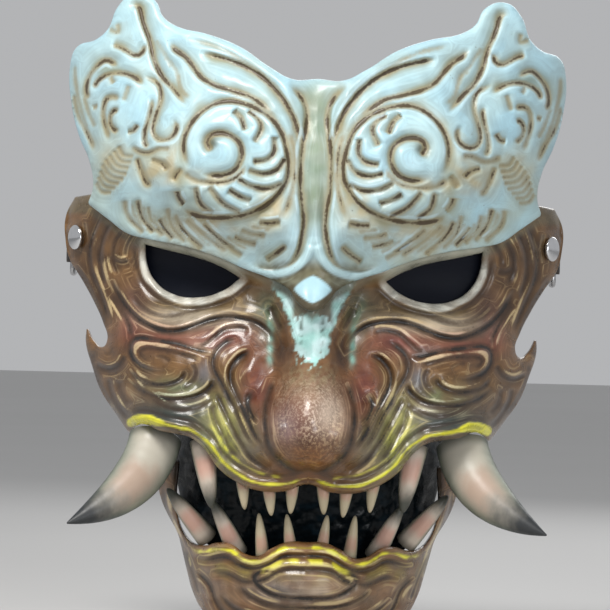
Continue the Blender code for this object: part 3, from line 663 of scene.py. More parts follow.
def crest_paint(x, z, fields):
    """Base and dry-brush colours of the crest, which is weathered ivory with stained cuts and painted shade
    round them.
    """
    at, cloud = patches(x, z)
    across = np.abs(x)
    over_edge = z - through(BROW_EDGE, across)
    stain = cloud(19, 8)
    middle = np.exp(-((x / 6.5) ** 2)) * ease((z - 14) / 14) * ease((78 - z) / 9)
    boss = ease((1.0 - (across / 8) ** 1.3 - (np.abs(z + 6) / 5.8) ** 1.3) / 0.2)
    band = np.abs(nearest(smooth_line(BOSS_BAND), across, z)[0])
    beside_boss = ease((6 - z) / 5) * ease((27 - across) / 8)
    hollows = 0.8 * at(16, 26, 6, 7) + 0.6 * at(56, 43, 5, 9) + 0.7 * at(46, 35.5, 10, 3.5)
    hollows += 0.6 * at(64, 38, 8, 6) + 0.6 * at(38, 17.5, 20, 3.5) + 0.5 * at(81, 44, 7, 8)
    hollows += 0.5 * at(9.5, 46, 2.5, 18) + 0.45 * at(55, 8, 24, 4)
    base = layered(
        x, IVORY,
        ((190, 220, 231), 0.7 * cloud(60, 3)),
        ((218, 226, 212), 0.35 * cloud(34, 4)),
        ((150, 150, 116), 0.75 * middle),
        ((118, 140, 104), 0.5 * middle * cloud(9, 5)),
        ((184, 162, 120), 0.5 * at(30, 21, 24, 4) * (0.4 + 0.6 * stain)),
        ((190, 176, 140), 0.4 * at(66, 44, 8, 5) + 0.5 * at(82, 44, 9, 7)),
        ((200, 198, 172), 0.4 * ease((22 - over_edge) / 12) * cloud(16, 6)),
        ((158, 132, 96), 0.7 * at(0, 1, 14, 5)),
        ((150, 134, 98), 0.4 * ease((across - 82) / 16) * ease((60 - z) / 40)),
        ((166, 146, 106), 0.7 * at(21, 24, 11, 3.5) * (0.4 + 0.6 * stain)),
        ((172, 152, 112), 0.6 * at(62, 39, 7, 4) + 0.4 * at(49, 20, 5, 8)),
        ((204, 224, 226), 0.7 * at(44, 12, 30, 4) + 0.6 * at(13, 22, 4, 12)),
        # beige round the cuts and in the hollows, from the tone field: the wash together with painted shade
        ((178, 166, 134), 0.9 * fields["tone"] * (0.35 + 0.65 * stain)),
        ((160, 154, 122), 0.55 * fields["tone"] * cloud(13, 10)),
        ((96, 84, 48), 0.9 * at(41.2, 50.2, 3.0, 3.4)),
        ((150, 148, 104), 0.5 * at(84, 79.6, 6, 2.6) + 0.5 * at(52.5, 36, 3, 8)),
        ((126, 112, 78), 0.85 * beside_boss),
        ((86, 74, 48), 0.6 * beside_boss * cloud(4, 32)),
        ((206, 226, 226), 0.95 * ease((2.1 - band) / 1.0)),
        ((196, 224, 230), boss),
        ((88, 68, 40), 0.8 * ease((-z - 3) / 3) * (1 - boss)),
        ((208, 176, 126), np.clip(hollows, 0, 1) * (0.35 + 0.65 * cloud(7, 34))),
    )
    return np.minimum(base * CREST_FILTER, 0.9), layered(x, IVORY_LIGHT) * CREST_FILTER


def face_paint(x, z, fields):
    """Base and dry-brush colours of the face."""
    at, cloud = patches(x, z)
    across = np.abs(x)
    lip, lid = fields["lip"], fields["lid"]
    over_edge = z - through(BROW_EDGE, across)
    # the teal bridge with its ragged outline, the notch and slits in it, and the light line beside it
    ragged = 3.2 * (cloud(5, 16) - 0.5) + 2.0 * (cloud(2.2, 17) - 0.5)
    half = through(BRIDGE_HALF_WIDTH, z)
    notch = ease((z + 15 + 0.55 * across + 0.6 * ragged) / 1.6)
    bridge = ease((half - across + 0.35 * ragged) / 1.6)
    bridge = bridge * ease((z + 35.5 - 0.35 * across + 1.4 * ragged) / 2.4)
    slits = np.exp(-(((across - 4.2) / 0.75) ** 2)) * at(4, -22, 4, 6) * ease((cloud(4, 28) - 0.35) / 0.3)
    rim = np.exp(-(((across - 16.2) / 1.2) ** 2)) * ease((z + 38) / 5) * ease((-16 - z) / 6)
    below_bridge = ease((12 - across) / 4) * np.exp(-(((z + 40) / 5) ** 2))
    under_brow = ease((over_edge + 5.5) / 2) * ease((across - 24) / 8) * ease((72 - across) / 6)
    base = layered(
        x, BRONZE,
        (BRONZE_DARK, 0.75 * cloud(26, 11) * cloud(9, 12)),
        ((134, 98, 56), 0.45 * cloud(18, 13)),
        # round the eyes and over the cheeks
        ((120, 104, 66), 0.8 * at(48, -14.5, 22, 4)),
        ((84, 62, 58), 0.6 * at(70, -12, 9, 9)),
        (PINK * 0.7, 0.85 * at(34, -25, 13, 6)),
        (PINK, 0.6 * at(60, -27, 14, 3.5)),
        (PINK, 0.5 * at(72, -22, 5, 8)),
        ((196, 150, 138), 0.45 * at(44, -29, 8, 2.5)),
        # beside the nose and down to the lip
        ((128, 58, 40), 0.8 * at(21, -47, 5, 16)),
        ((165, 92, 72), 0.9 * at(24, -48, 4, 7) * cloud(6, 18)),
        ((104, 118, 82), 0.8 * at(52, -46, 14, 4.5) * (0.4 + 0.6 * cloud(12, 14))),
        ((130, 138, 150), 0.55 * at(42, -40, 3, 4.5)),
        (colour(78, 92, 88) * 0.6, 0.97 * at(54, -57, 22, 6.5)),
        ((156, 148, 118), 0.9 * at(25.5, -66, 9, 13)),
        ((160, 158, 112), 0.6 * at(33, -70, 5, 8)),
        ((74, 78, 42), 0.8 * at(34, -62, 8, 14)),
        ((168, 176, 60), 0.85 * at(35, -65, 4.5, 12) * ease((cloud(6, 15) - 0.35) / 0.3)),
        ((112, 128, 128), 0.5 * at(41, -66, 3, 7)),
        ((70, 64, 44), 0.75 * at(22, -12, 10, 7)),
        ((46, 36, 26), 0.85 * at(11.5, -31, 3, 9)),
        ((84, 36, 28), 0.8 * at(21, -45, 5, 13) * (0.4 + 0.6 * cloud(5, 33))),
        ((70, 120, 96), 0.6 * at(17.5, -17, 4, 9) * (0.3 + 0.7 * cloud(7, 19))),
        ((206, 192, 170), 0.8 * at(48, -18.5, 18, 3.6)),
        ((62, 44, 30), 0.6 * at(88, 2, 12, 22) * (0.3 + 0.7 * cloud(9, 31))),
        ((188, 182, 120), 0.7 * at(35, -59, 6, 9)),
        # ball of the nose
        ((100, 52, 36), 0.9 * at(0, -56, 16, 22)),
        # painted highlight: the ball is lighter on its upper right side and on its top
        ((206, 184, 164), 0.85 * spot(x, z, 7, -54, 6.5, 8)),
        ((150, 124, 100), 0.6 * spot(x, z, 0, -45, 8, 6)),
        ((150, 132, 136), 0.5 * spot(x, z, -9, -60, 5, 7)),
        ((124, 74, 22), 0.95 * at(0, -73, 15, 7)),
        # bridge
        ((146, 212, 200), bridge),
        ((196, 226, 226), bridge * (0.35 + 0.65 * cloud(7, 20))),
        ((96, 76, 44), 0.9 * bridge * notch * ease((9 - across) / 2.5)),
        ((58, 66, 44), 0.9 * bridge * slits),
        ((140, 200, 186), 0.8 * rim * (0.3 + 0.7 * cloud(5, 26))),
        ((140, 128, 98), 0.6 * below_bridge * cloud(3, 27)),
        # under the crest, then the lip and the lids
        ((108, 96, 70), 0.8 * ease((over_edge + 5) / 2.5)),
        ((170, 172, 156), 0.85 * under_brow),
        (YELLOW, lip),
        ((218, 216, 204), lid),
    )
    brush = layered(
        x, GOLD_CREAM,
        ((222, 202, 180), 0.8 * at(40, -26, 14, 6)),
        ((206, 208, 92), 0.85 * at(34, -66, 8, 14)),
        ((224, 200, 184), 0.9 * at(0, -52, 17, 15)),
        ((188, 134, 60), 0.9 * at(0, -71, 14, 7)),
        ((214, 170, 158), 0.6 * at(60, -24, 20, 6)),
        ((150, 178, 160), 0.6 * at(56, -50, 18, 7)),
        ((112, 92, 64), 0.85 * at(15, -24, 7, 12)),
        ((206, 234, 228), bridge),
        (YELLOW_LIGHT, lip),
        ((240, 238, 226), lid),
    )
    # painted shade: the colour darkens towards half in the cuts and hollows along the tone field, but not on
    # the lip and less on the lids
    return tint(base, base * 0.5, 0.8 * fields["tone"] * (1 - lip) * (1 - 0.7 * lid)), brush


def jaw_paint(x, z, fields):
    """Base and dry-brush colours of the jaw."""
    at, cloud = patches(x, z)
    across = np.abs(x)
    lip = fields["lip"]
    shade_behind_fangs = ease((56 - across) / 3) * ease((across - 46) / 2) * ease((z + 98) / 6)
    base = layered(
        x, BRONZE,
        (BRONZE_DARK, 0.6 * cloud(22, 21) * cloud(8, 22)),
        ((128, 84, 44), 0.6 * cloud(16, 23)),
        ((196, 176, 154), 0.95 * at(0, -124, 22, 7) * (0.35 + 0.65 * cloud(7, 25))),
        ((104, 100, 104), 0.7 * spot(x, z, -12, -124, 8, 4.5)),
        ((176, 150, 122), 0.4 * at(38, -126, 10, 12) * cloud(6, 29)),
        ((150, 138, 56), 0.6 * at(26, -117, 24, 4) * cloud(9, 24)),
        # painted shade: near-black on the jaw's side wall behind the fangs, towards the mouth corner
        ((44, 38, 32), 0.85 * shade_behind_fangs),
        (YELLOW, lip),
    )
    brush = layered(x, GOLD_CREAM, ((212, 200, 110), 0.7 * at(24, -115, 30, 5)), (YELLOW_LIGHT, lip))
    # painted shade: the colour darkens in the cuts and hollows along the tone field, but not on the lip
    return tint(base, base * 0.55, 0.7 * fields["tone"] * (1 - lip)), brush


# ---- Materials ----


class Shader:
    """Builds one material's nodes."""

    def __init__(self, name, **values):
        self.material = bpy.data.materials.new(name)
        self.material.use_nodes = True
        self.tree = self.material.node_tree
        self.surface = self.tree.nodes["Principled BSDF"]
        for socket, value in values.items():
            self.surface.inputs[socket.replace("_", " ")].default_value = value
        self.place = self.add("ShaderNodeTexCoord").outputs["Object"]

    def add(self, kind, inputs=None, **settings):
        node = self.tree.nodes.new(kind)
        for key, value in settings.items():
            setattr(node, key, value)
        for key, value in (inputs or {}).items():
            if isinstance(value, bpy.types.NodeSocket):
                self.tree.links.new(value, node.inputs[key])
            else:
                node.inputs[key].default_value = value
        return node

    def drive(self, socket, value):
        self.tree.links.new(value, self.surface.inputs[socket])

    def attribute(self, name):
        return self.add("ShaderNodeAttribute", attribute_name=name).outputs["Color"]

    def split(self, colours):
        return self.add("ShaderNodeSeparateColor", {0: colours}).outputs

    def mix(self, weight, first, second, blend="MIX"):
        inputs = {0: weight, 6: first, 7: second}
        return self.add("ShaderNodeMix", inputs, data_type="RGBA", blend_type=blend).outputs[2]

    def math(self, operation, first, second=0.0):
        return self.add("ShaderNodeMath", {0: first, 1: second}, operation=operation).outputs[0]

    def plus(self, first, second):
        return self.math("ADD", first, second)

    def times(self, first, second):
        return self.math("MULTIPLY", first, second)

    def remap(self, value, low, high, to_low=0.0, to_high=1.0):
        inputs = {0: value, 1: low, 2: high, 3: to_low, 4: to_high}
        return self.add("ShaderNodeMapRange", inputs, interpolation_type="SMOOTHSTEP").outputs[0]

    def noise(self, size, detail=3.0, stretch=(1, 1, 1), rough=0.55):
        """Cloudy noise with features of about the given size in millimetres."""
        scaled = self.add("ShaderNodeMapping", {"Vector": self.place, "Scale": stretch}).outputs[0]
        inputs = {"Vector": scaled, "Scale": 1 / (size * MM), "Detail": detail, "Roughness": rough}
        return self.add("ShaderNodeTexNoise", inputs).outputs[0]

    def strands(self, name):
        """Fine lines that follow a distance stored in millimetres, changing slowly along their length."""
        distance = self.add("ShaderNodeAttribute", attribute_name=name).outputs["Fac"]
        place = self.add("ShaderNodeSeparateXYZ", {0: self.place}).outputs
        along_x = self.times(place["X"], 55.0)
        along_z = self.times(place["Z"], 55.0)
        where = self.add("ShaderNodeCombineXYZ", {0: distance, 1: along_x, 2: along_z}).outputs[0]
        return self.add("ShaderNodeTexNoise", {"Vector": where, "Scale": 0.95, "Detail": 3.0}).outputs[0]

    def cells(self, size):
        inputs = {"Vector": self.place, "Scale": 1 / (size * MM)}
        return self.add("ShaderNodeTexVoronoi", inputs).outputs[0]

    def bump(self, height, distance, strength=1.0):
        inputs = {"Height": height, "Distance": distance * MM, "Strength": strength}
        self.drive("Normal", self.add("ShaderNodeBump", inputs).outputs[0])

    def finish(self, pattern, low, high, worn, roughness, height, distance, strength):
        """The material, coloured by one pattern, more or less rough by another and raised by a third."""
        self.drive("Base Color", self.mix(pattern, (*low, 1), (*high, 1)))
        self.drive("Roughness", self.remap(worn, *roughness))
        self.bump(height, distance, strength)
        return self.material


def rgba(value):
    """Linear values as a node's colour."""
    return (*[float(v) for v in value], 1.0)


def painted_resin(name, wash, dark, gloss, coat, shading, strands, brush_and_highlight):
    """Hand-painted resin: base, a wash in the cuts, dark lines at their bottoms, and dry-brushed ridges,
    whose brush colour also lays painted highlights along the lips and rounded tops.

    marks holds the cuts, the ridges and the stippled patches; flow is the distance to the nearest cut, which
    the fine strands of paint run along.
    """
    shader = Shader(name, Coat_Weight=coat, Coat_Roughness=0.12)
    wash = rgba(colour(*wash))
    dark = rgba(colour(*dark))
    marks = shader.split(shader.attribute("marks"))
    base = shader.attribute("base")
    brush = shader.attribute("brush")
    cloudy = shader.noise(9, 4)
    fine = shader.noise(1.1, 4, rough=0.7)
    flow = shader.strands("flow")
    shade = shader.plus(shader.times(cloudy, 0.5), shader.times(flow, 0.5))
    shade = shader.remap(shade, 0.34, 0.66, *shading)
    grey = shader.add("ShaderNodeCombineXYZ", {0: shade, 1: shade, 2: shade}).outputs[0]
    varied = shader.mix(1.0, base, grey, "MULTIPLY")
    distance = shader.add("ShaderNodeAttribute", attribute_name="flow").outputs["Fac"]
    close = shader.remap(distance, 2.5, 7.0, strands, 0.1 * strands)
    varied = shader.mix(shader.times(shader.remap(flow, 0.54, 0.7), close), varied, brush)
    stain = shader.plus(marks[0], shader.times(shader.math("SUBTRACT", fine, 0.5), 0.5))
    washed = shader.mix(shader.remap(stain, 0.3, 0.8, 0.0, 0.7), varied, wash)
    washed = shader.mix(shader.remap(stain, 0.74, 0.92, 0.0, 0.92), washed, dark)
    # marks[1] lays the dry-brush colour on as painted highlight along the lips, ridges and rounded tops,
    # broken up like dry-brushing
    broken = shader.plus(shader.times(flow, 0.6), shader.times(fine, 0.4))
    reach = shader.plus(marks[1], shader.times(shader.math("SUBTRACT", broken, 0.5), 0.9))
    brushed = shader.mix(shader.remap(reach, 0.42, 0.8, 0.0, brush_and_highlight), washed, brush)
    stipple = shader.times(marks[2], shader.remap(fine, 0.46, 0.6, 0.0, 0.85))
    brushed = shader.mix(stipple, brushed, brush)
    dots = shader.remap(shader.cells(4.2), 0.05, 0.09, 1.0, 0.0)
    rare = shader.times(dots, shader.remap(shader.noise(14, 1), 0.52, 0.62, 0.0, 0.5))
    shader.drive("Base Color", shader.mix(rare, brushed, dark))
    worn = shader.remap(cloudy, 0.3, 0.7, gloss, gloss + 0.14)
    shader.drive("Roughness", shader.plus(worn, shader.times(marks[0], 0.15)))
    rough = shader.plus(shader.times(fine, 0.3), shader.times(flow, 0.7))
    shader.bump(rough, 0.1 + 0.3 * strands, 0.8)
    return shader.material


def inner_lacquer():
    """Black gloss lacquer with slow ripples and a few dull patches."""
    shader = Shader("inner_lacquer", Coat_Weight=0.4, Coat_Roughness=0.08)
    slow = shader.noise(16, 2)
    rippled = shader.plus(slow, shader.times(shader.noise(1.2, 2), 0.12))
    return shader.finish(slow, (0.006, 0.006, 0.007), (0.018, 0.016, 0.016),
                         shader.noise(5, 4), (0.3, 0.7, 0.16, 0.34), rippled, 0.5, 0.6)


def mouth_gloss():
    """Blue-black gloss with brushed ridges, whose tops are painted bluer as a painted blue reflection."""
    shader = Shader("mouth_gloss", Coat_Weight=0.1, Coat_Roughness=0.1, Specular_IOR_Level=0.1)
    rough = shader.noise(9, 4, (1, 1, 1.6))
    # painted reflection: bluer colour where the ridge noise is high, on the raised ridges
    return shader.finish(shader.remap(rough, 0.5, 0.72), (0.004, 0.007, 0.009), (0.008, 0.018, 0.026),
                         rough, (0.3, 0.7, 0.16, 0.4), rough, 1.2, 0.6)


def smoked_lens():
    """Smoked plastic: dark, clear and very smooth."""
    shader = Shader("smoked_lens", Specular_IOR_Level=0.12)
    haze = shader.noise(22, 3)
    return shader.finish(haze, (0.003, 0.004, 0.008), (0.008, 0.010, 0.018),
                         shader.noise(6, 5), (0.35, 0.75, 0.32, 0.45), haze, 0.2, 0.25)


def horn_paint(name, dark_from, warm_band, *tones):
    """Airbrushed horn: light along its front, a warm band and a dark tip, with painted shade on the cool
    sides, which darken as they turn from the front, and at the root.

    The tones are the display colours light, warm, cool and dark.
    marks holds the way from root to tip, how far the surface turns from the front, and left to right.
    """
    shader = Shader(name, Coat_Weight=0.12, Coat_Roughness=0.3)
    marks = shader.split(shader.attribute("marks"))
    mottled = shader.noise(7, 3, (1, 1, 0.6))
    loose = shader.times(shader.math("SUBTRACT", mottled, 0.5), 0.25)
    fine = shader.noise(0.9, 3)
    along = shader.plus(marks[0], loose)
    aside = shader.plus(marks[1], loose)
    near, far = warm_band
    light, warm, cool, dark = (colour(*tone) for tone in tones)
    flush = shader.times(shader.remap(along, near, near + 0.2),
                         shader.remap(along, far, far + 0.2, 1.0, 0.0))
    flush = shader.times(flush, shader.remap(aside, 0.2, 0.7, 0.85, 0.15))
    body = shader.mix(flush, rgba(light), rgba(warm))
    # painted shade: the sides go cool, then darker still, as they turn away from the front
    body = shader.mix(shader.remap(aside, 0.25, 0.8, 0.0, 0.8), body, rgba(cool))
    body = shader.mix(shader.remap(aside, 0.65, 1.0, 0.0, 0.7), body, rgba(cool * 0.35))
    # painted shade at the root, where the horn leaves the lip
    body = shader.mix(shader.remap(marks[0], 0.0, 0.16, 0.75, 0.0), body, rgba(cool * 0.25))
    tip = shader.remap(along, dark_from, dark_from + 0.32, 0.0, 0.96)
    shader.drive("Base Color", shader.mix(tip, body, rgba(dark)))
    shader.drive("Roughness", shader.remap(mottled, 0.3, 0.7, 0.4, 0.56))
    shader.bump(fine, 0.05, 0.6)
    return shader.material


def chrome():
    """Bright plated steel with faint smears."""
    shader = Shader("chrome", Metallic=1.0)
    smear = shader.noise(3.5, 4)
    return shader.finish(smear, (0.62, 0.63, 0.65), (0.86, 0.86, 0.87),
                         smear, (0.3, 0.7, 0.07, 0.2), shader.noise(0.7, 2), 0.02, 0.4)


def steel():
    """Drawn wire and pressed washers: satin steel with fine drawing lines."""
    shader = Shader("satin_steel", Metallic=1.0)
    lines = shader.noise(0.5, 3, (1, 1, 0.12))
    return shader.finish(lines, (0.36, 0.36, 0.37), (0.62, 0.62, 0.63),
                         lines, (0.3, 0.7, 0.24, 0.42), lines, 0.04, 0.5)


def leather():
    """Black-brown leather with pebbled grain and worn high spots."""
    shader = Shader("tab_leather", Sheen_Weight=0.15)
    grain = shader.cells(0.9)
    worn = shader.remap(shader.noise(6, 4), 0.4, 0.7)
    raised = shader.plus(grain, shader.times(shader.noise(0.3, 2), 0.3))
    return shader.finish(worn, (0.018, 0.012, 0.010), (0.055, 0.036, 0.026),
                         grain, (0.0, 0.6, 0.62, 0.45), raised, 0.12, 0.8)


def thread():
    """Waxed thread with its twist."""
    shader = Shader("stitch_thread")
    twist = shader.noise(0.4, 2, (1, 1, 3))
    return shader.finish(twist, (0.10, 0.08, 0.06), (0.28, 0.24, 0.18),
                         twist, (0.3, 0.7, 0.5, 0.7), twist, 0.05, 0.6)


def foam():
    """Cloth-faced foam: a fine knit over open cells."""
    shader = Shader("pad_foam", Sheen_Weight=0.5, Sheen_Roughness=0.5)
    pores = shader.cells(0.55)
    return shader.finish(shader.noise(7, 4), (0.012, 0.012, 0.013), (0.034, 0.033, 0.034),
                         pores, (0.0, 0.6, 0.98, 0.78), pores, 0.18, 0.9)


# ---- Meshes ----


def add_piece(name, vertices, faces, materials, body, node, face_materials=None, colours=None):
    """A smooth mesh in millimetres that rides a body and stands for a CAD node."""
    mesh = bpy.data.meshes.new(name)
    mesh.from_pydata((np.asarray(vertices) * MM).tolist(), [], faces)
    for material in materials:
        mesh.materials.append(material)
    mesh.polygons.foreach_set("use_smooth", [True] * len(mesh.polygons))
    if face_materials is not None:
        mesh.polygons.foreach_set("material_index", face_materials)
    for label, values in (colours or {}).items():
        layer = mesh.color_attributes.new(label, "FLOAT_COLOR", "POINT")
        full = np.ones((len(values), 4), np.float32)
        full[:, :3] = values
        layer.data.foreach_set("color", full.ravel())
    mesh.update()
    piece = bpy.data.objects.new(name, mesh)
    bpy.context.scene.collection.objects.link(piece)
    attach(piece, body)
    if node:
        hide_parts(node)
    return piece


def stand_for(node, vertices, faces, material, body="mask", colours=None):
    """A piece of one material that replaces a CAD node."""
    return add_piece(node + "_fine", vertices, faces, [material], body, node, colours=colours)


def blurred(field, reach):
    """A field smoothed by a bell of the given reach, in grid steps."""
    half = int(3 * reach)
    bell = np.exp(-((np.arange(-half, half + 1) / reach) ** 2) / 2)
    bell /= bell.sum()
    padded = np.pad(field, half, mode="edge")
    rows = np.apply_along_axis(np.convolve, 0, padded, bell, "valid")
    return np.apply_along_axis(np.convolve, 1, rows, bell, "valid")


def front_grid(loops, step):
    """A grid over the first loop: x and z of its corners, and which of its cells lie inside the loops."""
    low = loops[0].min(axis=0)
    high = loops[0].max(axis=0)
    reach_x = step * math.ceil(max(abs(low[0]), abs(high[0])) / step + 1)
    symmetric = abs(low[0] + high[0]) < step
    if symmetric:
        xs = np.arange(-reach_x, reach_x + step / 2, step)
    else:
        xs = np.arange(low[0] - step, high[0] + 2 * step, step)
    zs = np.arange(low[1] - step, high[1] + 2 * step, step)
    x, z = np.meshgrid(xs, zs, indexing="ij")
    cells = inside_loops(loops, (x[:-1, :-1] + x[1:, 1:]) / 2, (z[:-1, :-1] + z[1:, 1:]) / 2)
    return x, z, cells


def sheet_mesh(loops, step, outer, inner, fields=None, bulge=0.3, floor=None):
    """A wall between two depth functions inside the loops, closed by a rounded rim.

    Returns vertices, faces, face materials (0 outside and rim, 1 inside) and the fields at each vertex.
    """
    x, z, cells = front_grid(loops, step)
    number = np.arange(x.size).reshape(x.shape)
    corners = [number[:-1, :-1], number[1:, :-1], number[1:, 1:], number[:-1, 1:]]
    quads = np.stack([corner[cells] for corner in corners], axis=1)
    edges = np.concatenate([quads[:, [k, (k + 1) % 4]] for k in range(4)])
    keys = edges[:, 0] * x.size + edges[:, 1]
    back = edges[:, 1] * x.size + edges[:, 0]
    rim = edges[~np.isin(keys, back)]
    x = x.ravel().copy()
    z = z.ravel().copy()
    on_rim = np.unique(rim)
    best = np.full(len(on_rim), 1e9)
    near_x = x[on_rim].copy()
    near_z = z[on_rim].copy()
    for loop in loops:
        far, _, px, pz = nearest(loop, x[on_rim], z[on_rim])
        far = np.abs(far)
        near_x = np.where(far < best, px, near_x)
        near_z = np.where(far < best, pz, near_z)
        best = np.minimum(far, best)
    x[on_rim] = near_x
    z[on_rim] = near_z
    used = np.unique(quads)
    place = np.full(x.size, -1)
    place[used] = np.arange(len(used))
    x = x[used]
    z = z[used]
    quads = place[quads]
    rim = place[rim]
    values = fields(x, z, used) if fields else {}
    front = outer(x, z) + values.get("relief", 0.0)
    rear = np.minimum(inner(x, z), front - THINNEST)
    if floor is not None:
        rear = np.maximum(rear, floor)
        front = np.maximum(front, rear + 0.6)
    outwards = np.zeros((len(used), 2))
    run = np.stack([x[rim[:, 1]] - x[rim[:, 0]], z[rim[:, 1]] - z[rim[:, 0]]], axis=1)
    normal = np.stack([run[:, 1], -run[:, 0]], axis=1)
    np.add.at(outwards, rim[:, 0], normal)
    np.add.at(outwards, rim[:, 1], normal)
    length = np.maximum(np.linalg.norm(outwards, axis=1), 1e-9)
    outwards /= length[:, None]
    rim_vertices = np.unique(rim)
    slot = np.full(len(used), -1)
    slot[rim_vertices] = np.arange(len(rim_vertices))
    sheets = [np.stack([x, -front, z], axis=1)]
    mixes = (0.2, 0.5, 0.8)
    for share in mixes:
        depth = front[rim_vertices] * (1 - share) + rear[rim_vertices] * share
        push = bulge * math.sin(math.pi * share) * outwards[rim_vertices]
        rim_x = x[rim_vertices] + push[:, 0]
        rim_z = z[rim_vertices] + push[:, 1]
        sheets.append(np.stack([rim_x, -depth, rim_z], axis=1))
    sheets.append(np.stack([x, -rear, z], axis=1))
    vertices = np.vstack(sheets)
    count, ring = len(used), len(rim_vertices)
    faces = [quads]
    rounds = [slot[rim] + count + k * ring for k in range(len(mixes))]
    levels = [rim] + rounds + [rim + count + len(mixes) * ring]
    for upper, lower in zip(levels[:-1], levels[1:]):
        faces.append(np.stack([upper[:, 1], upper[:, 0], lower[:, 0], lower[:, 1]], axis=1))
    faces.append(quads[:, ::-1] + count + len(mixes) * ring)
    materials = np.concatenate([np.zeros(len(quads) + 4 * len(rim), int), np.ones(len(quads), int)])
    spread = {}
    for key, value in values.items():
        spread[key] = np.concatenate([value] + [value[rim_vertices]] * len(mixes) + [value])
    return vertices, np.vstack(faces).tolist(), materials, spread


CLOSE_BLUR, WIDE_BLUR = 1.5, 4.0
UNEVENNESS = 0.3
EDGE_ROUND, EDGE_DROP = 2.2, 1.3  # a shell's outside falls away by this drop within this reach of its edge


def carved_shell(node, loops, step, depth, strokes, paint, material, inner_material, floor=None,
                 extra=None):
    """A shell whose outside is carved by strokes and painted."""
    x, z, _ = front_grid(loops, step)
    art = Carving(x, z)
    strokes(art)
    edge = np.full(x.shape, 1e9)
    for loop in loops:
        edge = np.minimum(edge, np.abs(nearest(loop, x, z)[0]))
    marks = {key: np.zeros(x.shape) for key in ("lip", "lid", "stipple")}
    relief = art.relief()
    if extra:
        relief = relief + extra(x, z, art, marks)
    relief = relief + UNEVENNESS * (waves(x, z, 9, 31) - 0.5)
    hollow = blurred(relief, CLOSE_BLUR / step) - relief
    wide = blurred(relief, WIDE_BLUR / step) - relief
    # tone: the wash round the cuts, with painted shade in the hollows (where wide is above zero)
    marks["tone"] = np.clip(0.8 * art.tone + 0.5 * np.clip(wide, 0, 1), 0, 1)
    marks["flow"] = art.flow
    marks["dark"] = np.clip(art.line, 0, 1) * (1 - 0.8 * marks["lip"])
    # light: painted highlight along the lips and ridges and on the rounded tops (where hollow is below zero)
    marks["light"] = np.clip(0.85 * art.crest + 0.22 * np.clip(-hollow, 0, 1), 0, 1)
    relief = relief - EDGE_DROP * np.clip(1 - edge / EDGE_ROUND, 0, 1) ** 2

    def sample(px, pz, used):
        return {"relief": relief.ravel()[used], **{key: value.ravel()[used] for key, value in marks.items()}}

    inner = behind(depth, WALL)
    vertices, faces, materials, fields = sheet_mesh(loops, step, depth, inner, sample, 0.5, floor)
    base, brush = paint(vertices[:, 0], vertices[:, 2], fields)
    shades = np.stack([fields["dark"], fields["light"], fields["stipple"]], axis=1)
    flow = np.repeat(fields["flow"][:, None], 3, axis=1)
    colours = {"base": base, "brush": brush, "marks": shades, "flow": flow}
    return add_piece(node + "_fine", vertices, faces, [material, inner_material], "mask", node,
                     materials, colours)


def plain_sheet(node, outline, step, outer, inner, material, bulge=0.3, extra=None):
    """A sheet with no carving, such as a lens."""
    loops = [outline_loop(outline)]
    vertices, faces, _, _ = sheet_mesh(loops, step, outer, inner, extra, bulge)
    return stand_for(node, vertices, faces, material)


def tube_faces(count, around, start=0, closed=False, capped=False):
    """Quads round a tube of rings of vertices, which may join into a loop or be capped at both ends."""
    faces = []
    for i in range(count if closed else count - 1):
        here = start + i * around
        there = start + (i + 1) % count * around
        for j in range(around):
            k = (j + 1) % around
            faces.append((here + j, here + k, there + k, there + j))
    if capped:
        last = start + (count - 1) * around
        faces.append(tuple(range(start + around - 1, start - 1, -1)))
        faces.append(tuple(range(last, last + around)))
    return faces


def face_outwards(piece):
    """Turn every face of a closed piece outwards."""
    shape = bmesh.new()
    shape.from_mesh(piece.data)
    bmesh.ops.recalc_face_normals(shape, faces=shape.faces)
    shape.to_mesh(piece.data)
    shape.free()


def route_frames(route):
    """Tangent and two steady side directions at every point of a route."""
    tangents = np.gradient(route, axis=0)
    tangents /= np.linalg.norm(tangents, axis=1)[:, None]
    side = np.cross(tangents[0], (0.0, 1.0, 0.0))
    if np.linalg.norm(side) < 0.1:
        side = np.cross(tangents[0], (1.0, 0.0, 0.0))
    sides = []
    for tangent in tangents:
        side = side - tangent * np.dot(side, tangent)
        side /= np.linalg.norm(side)
        sides.append(side)
    sides = np.array(sides)
    return tangents, sides, np.cross(tangents, sides)


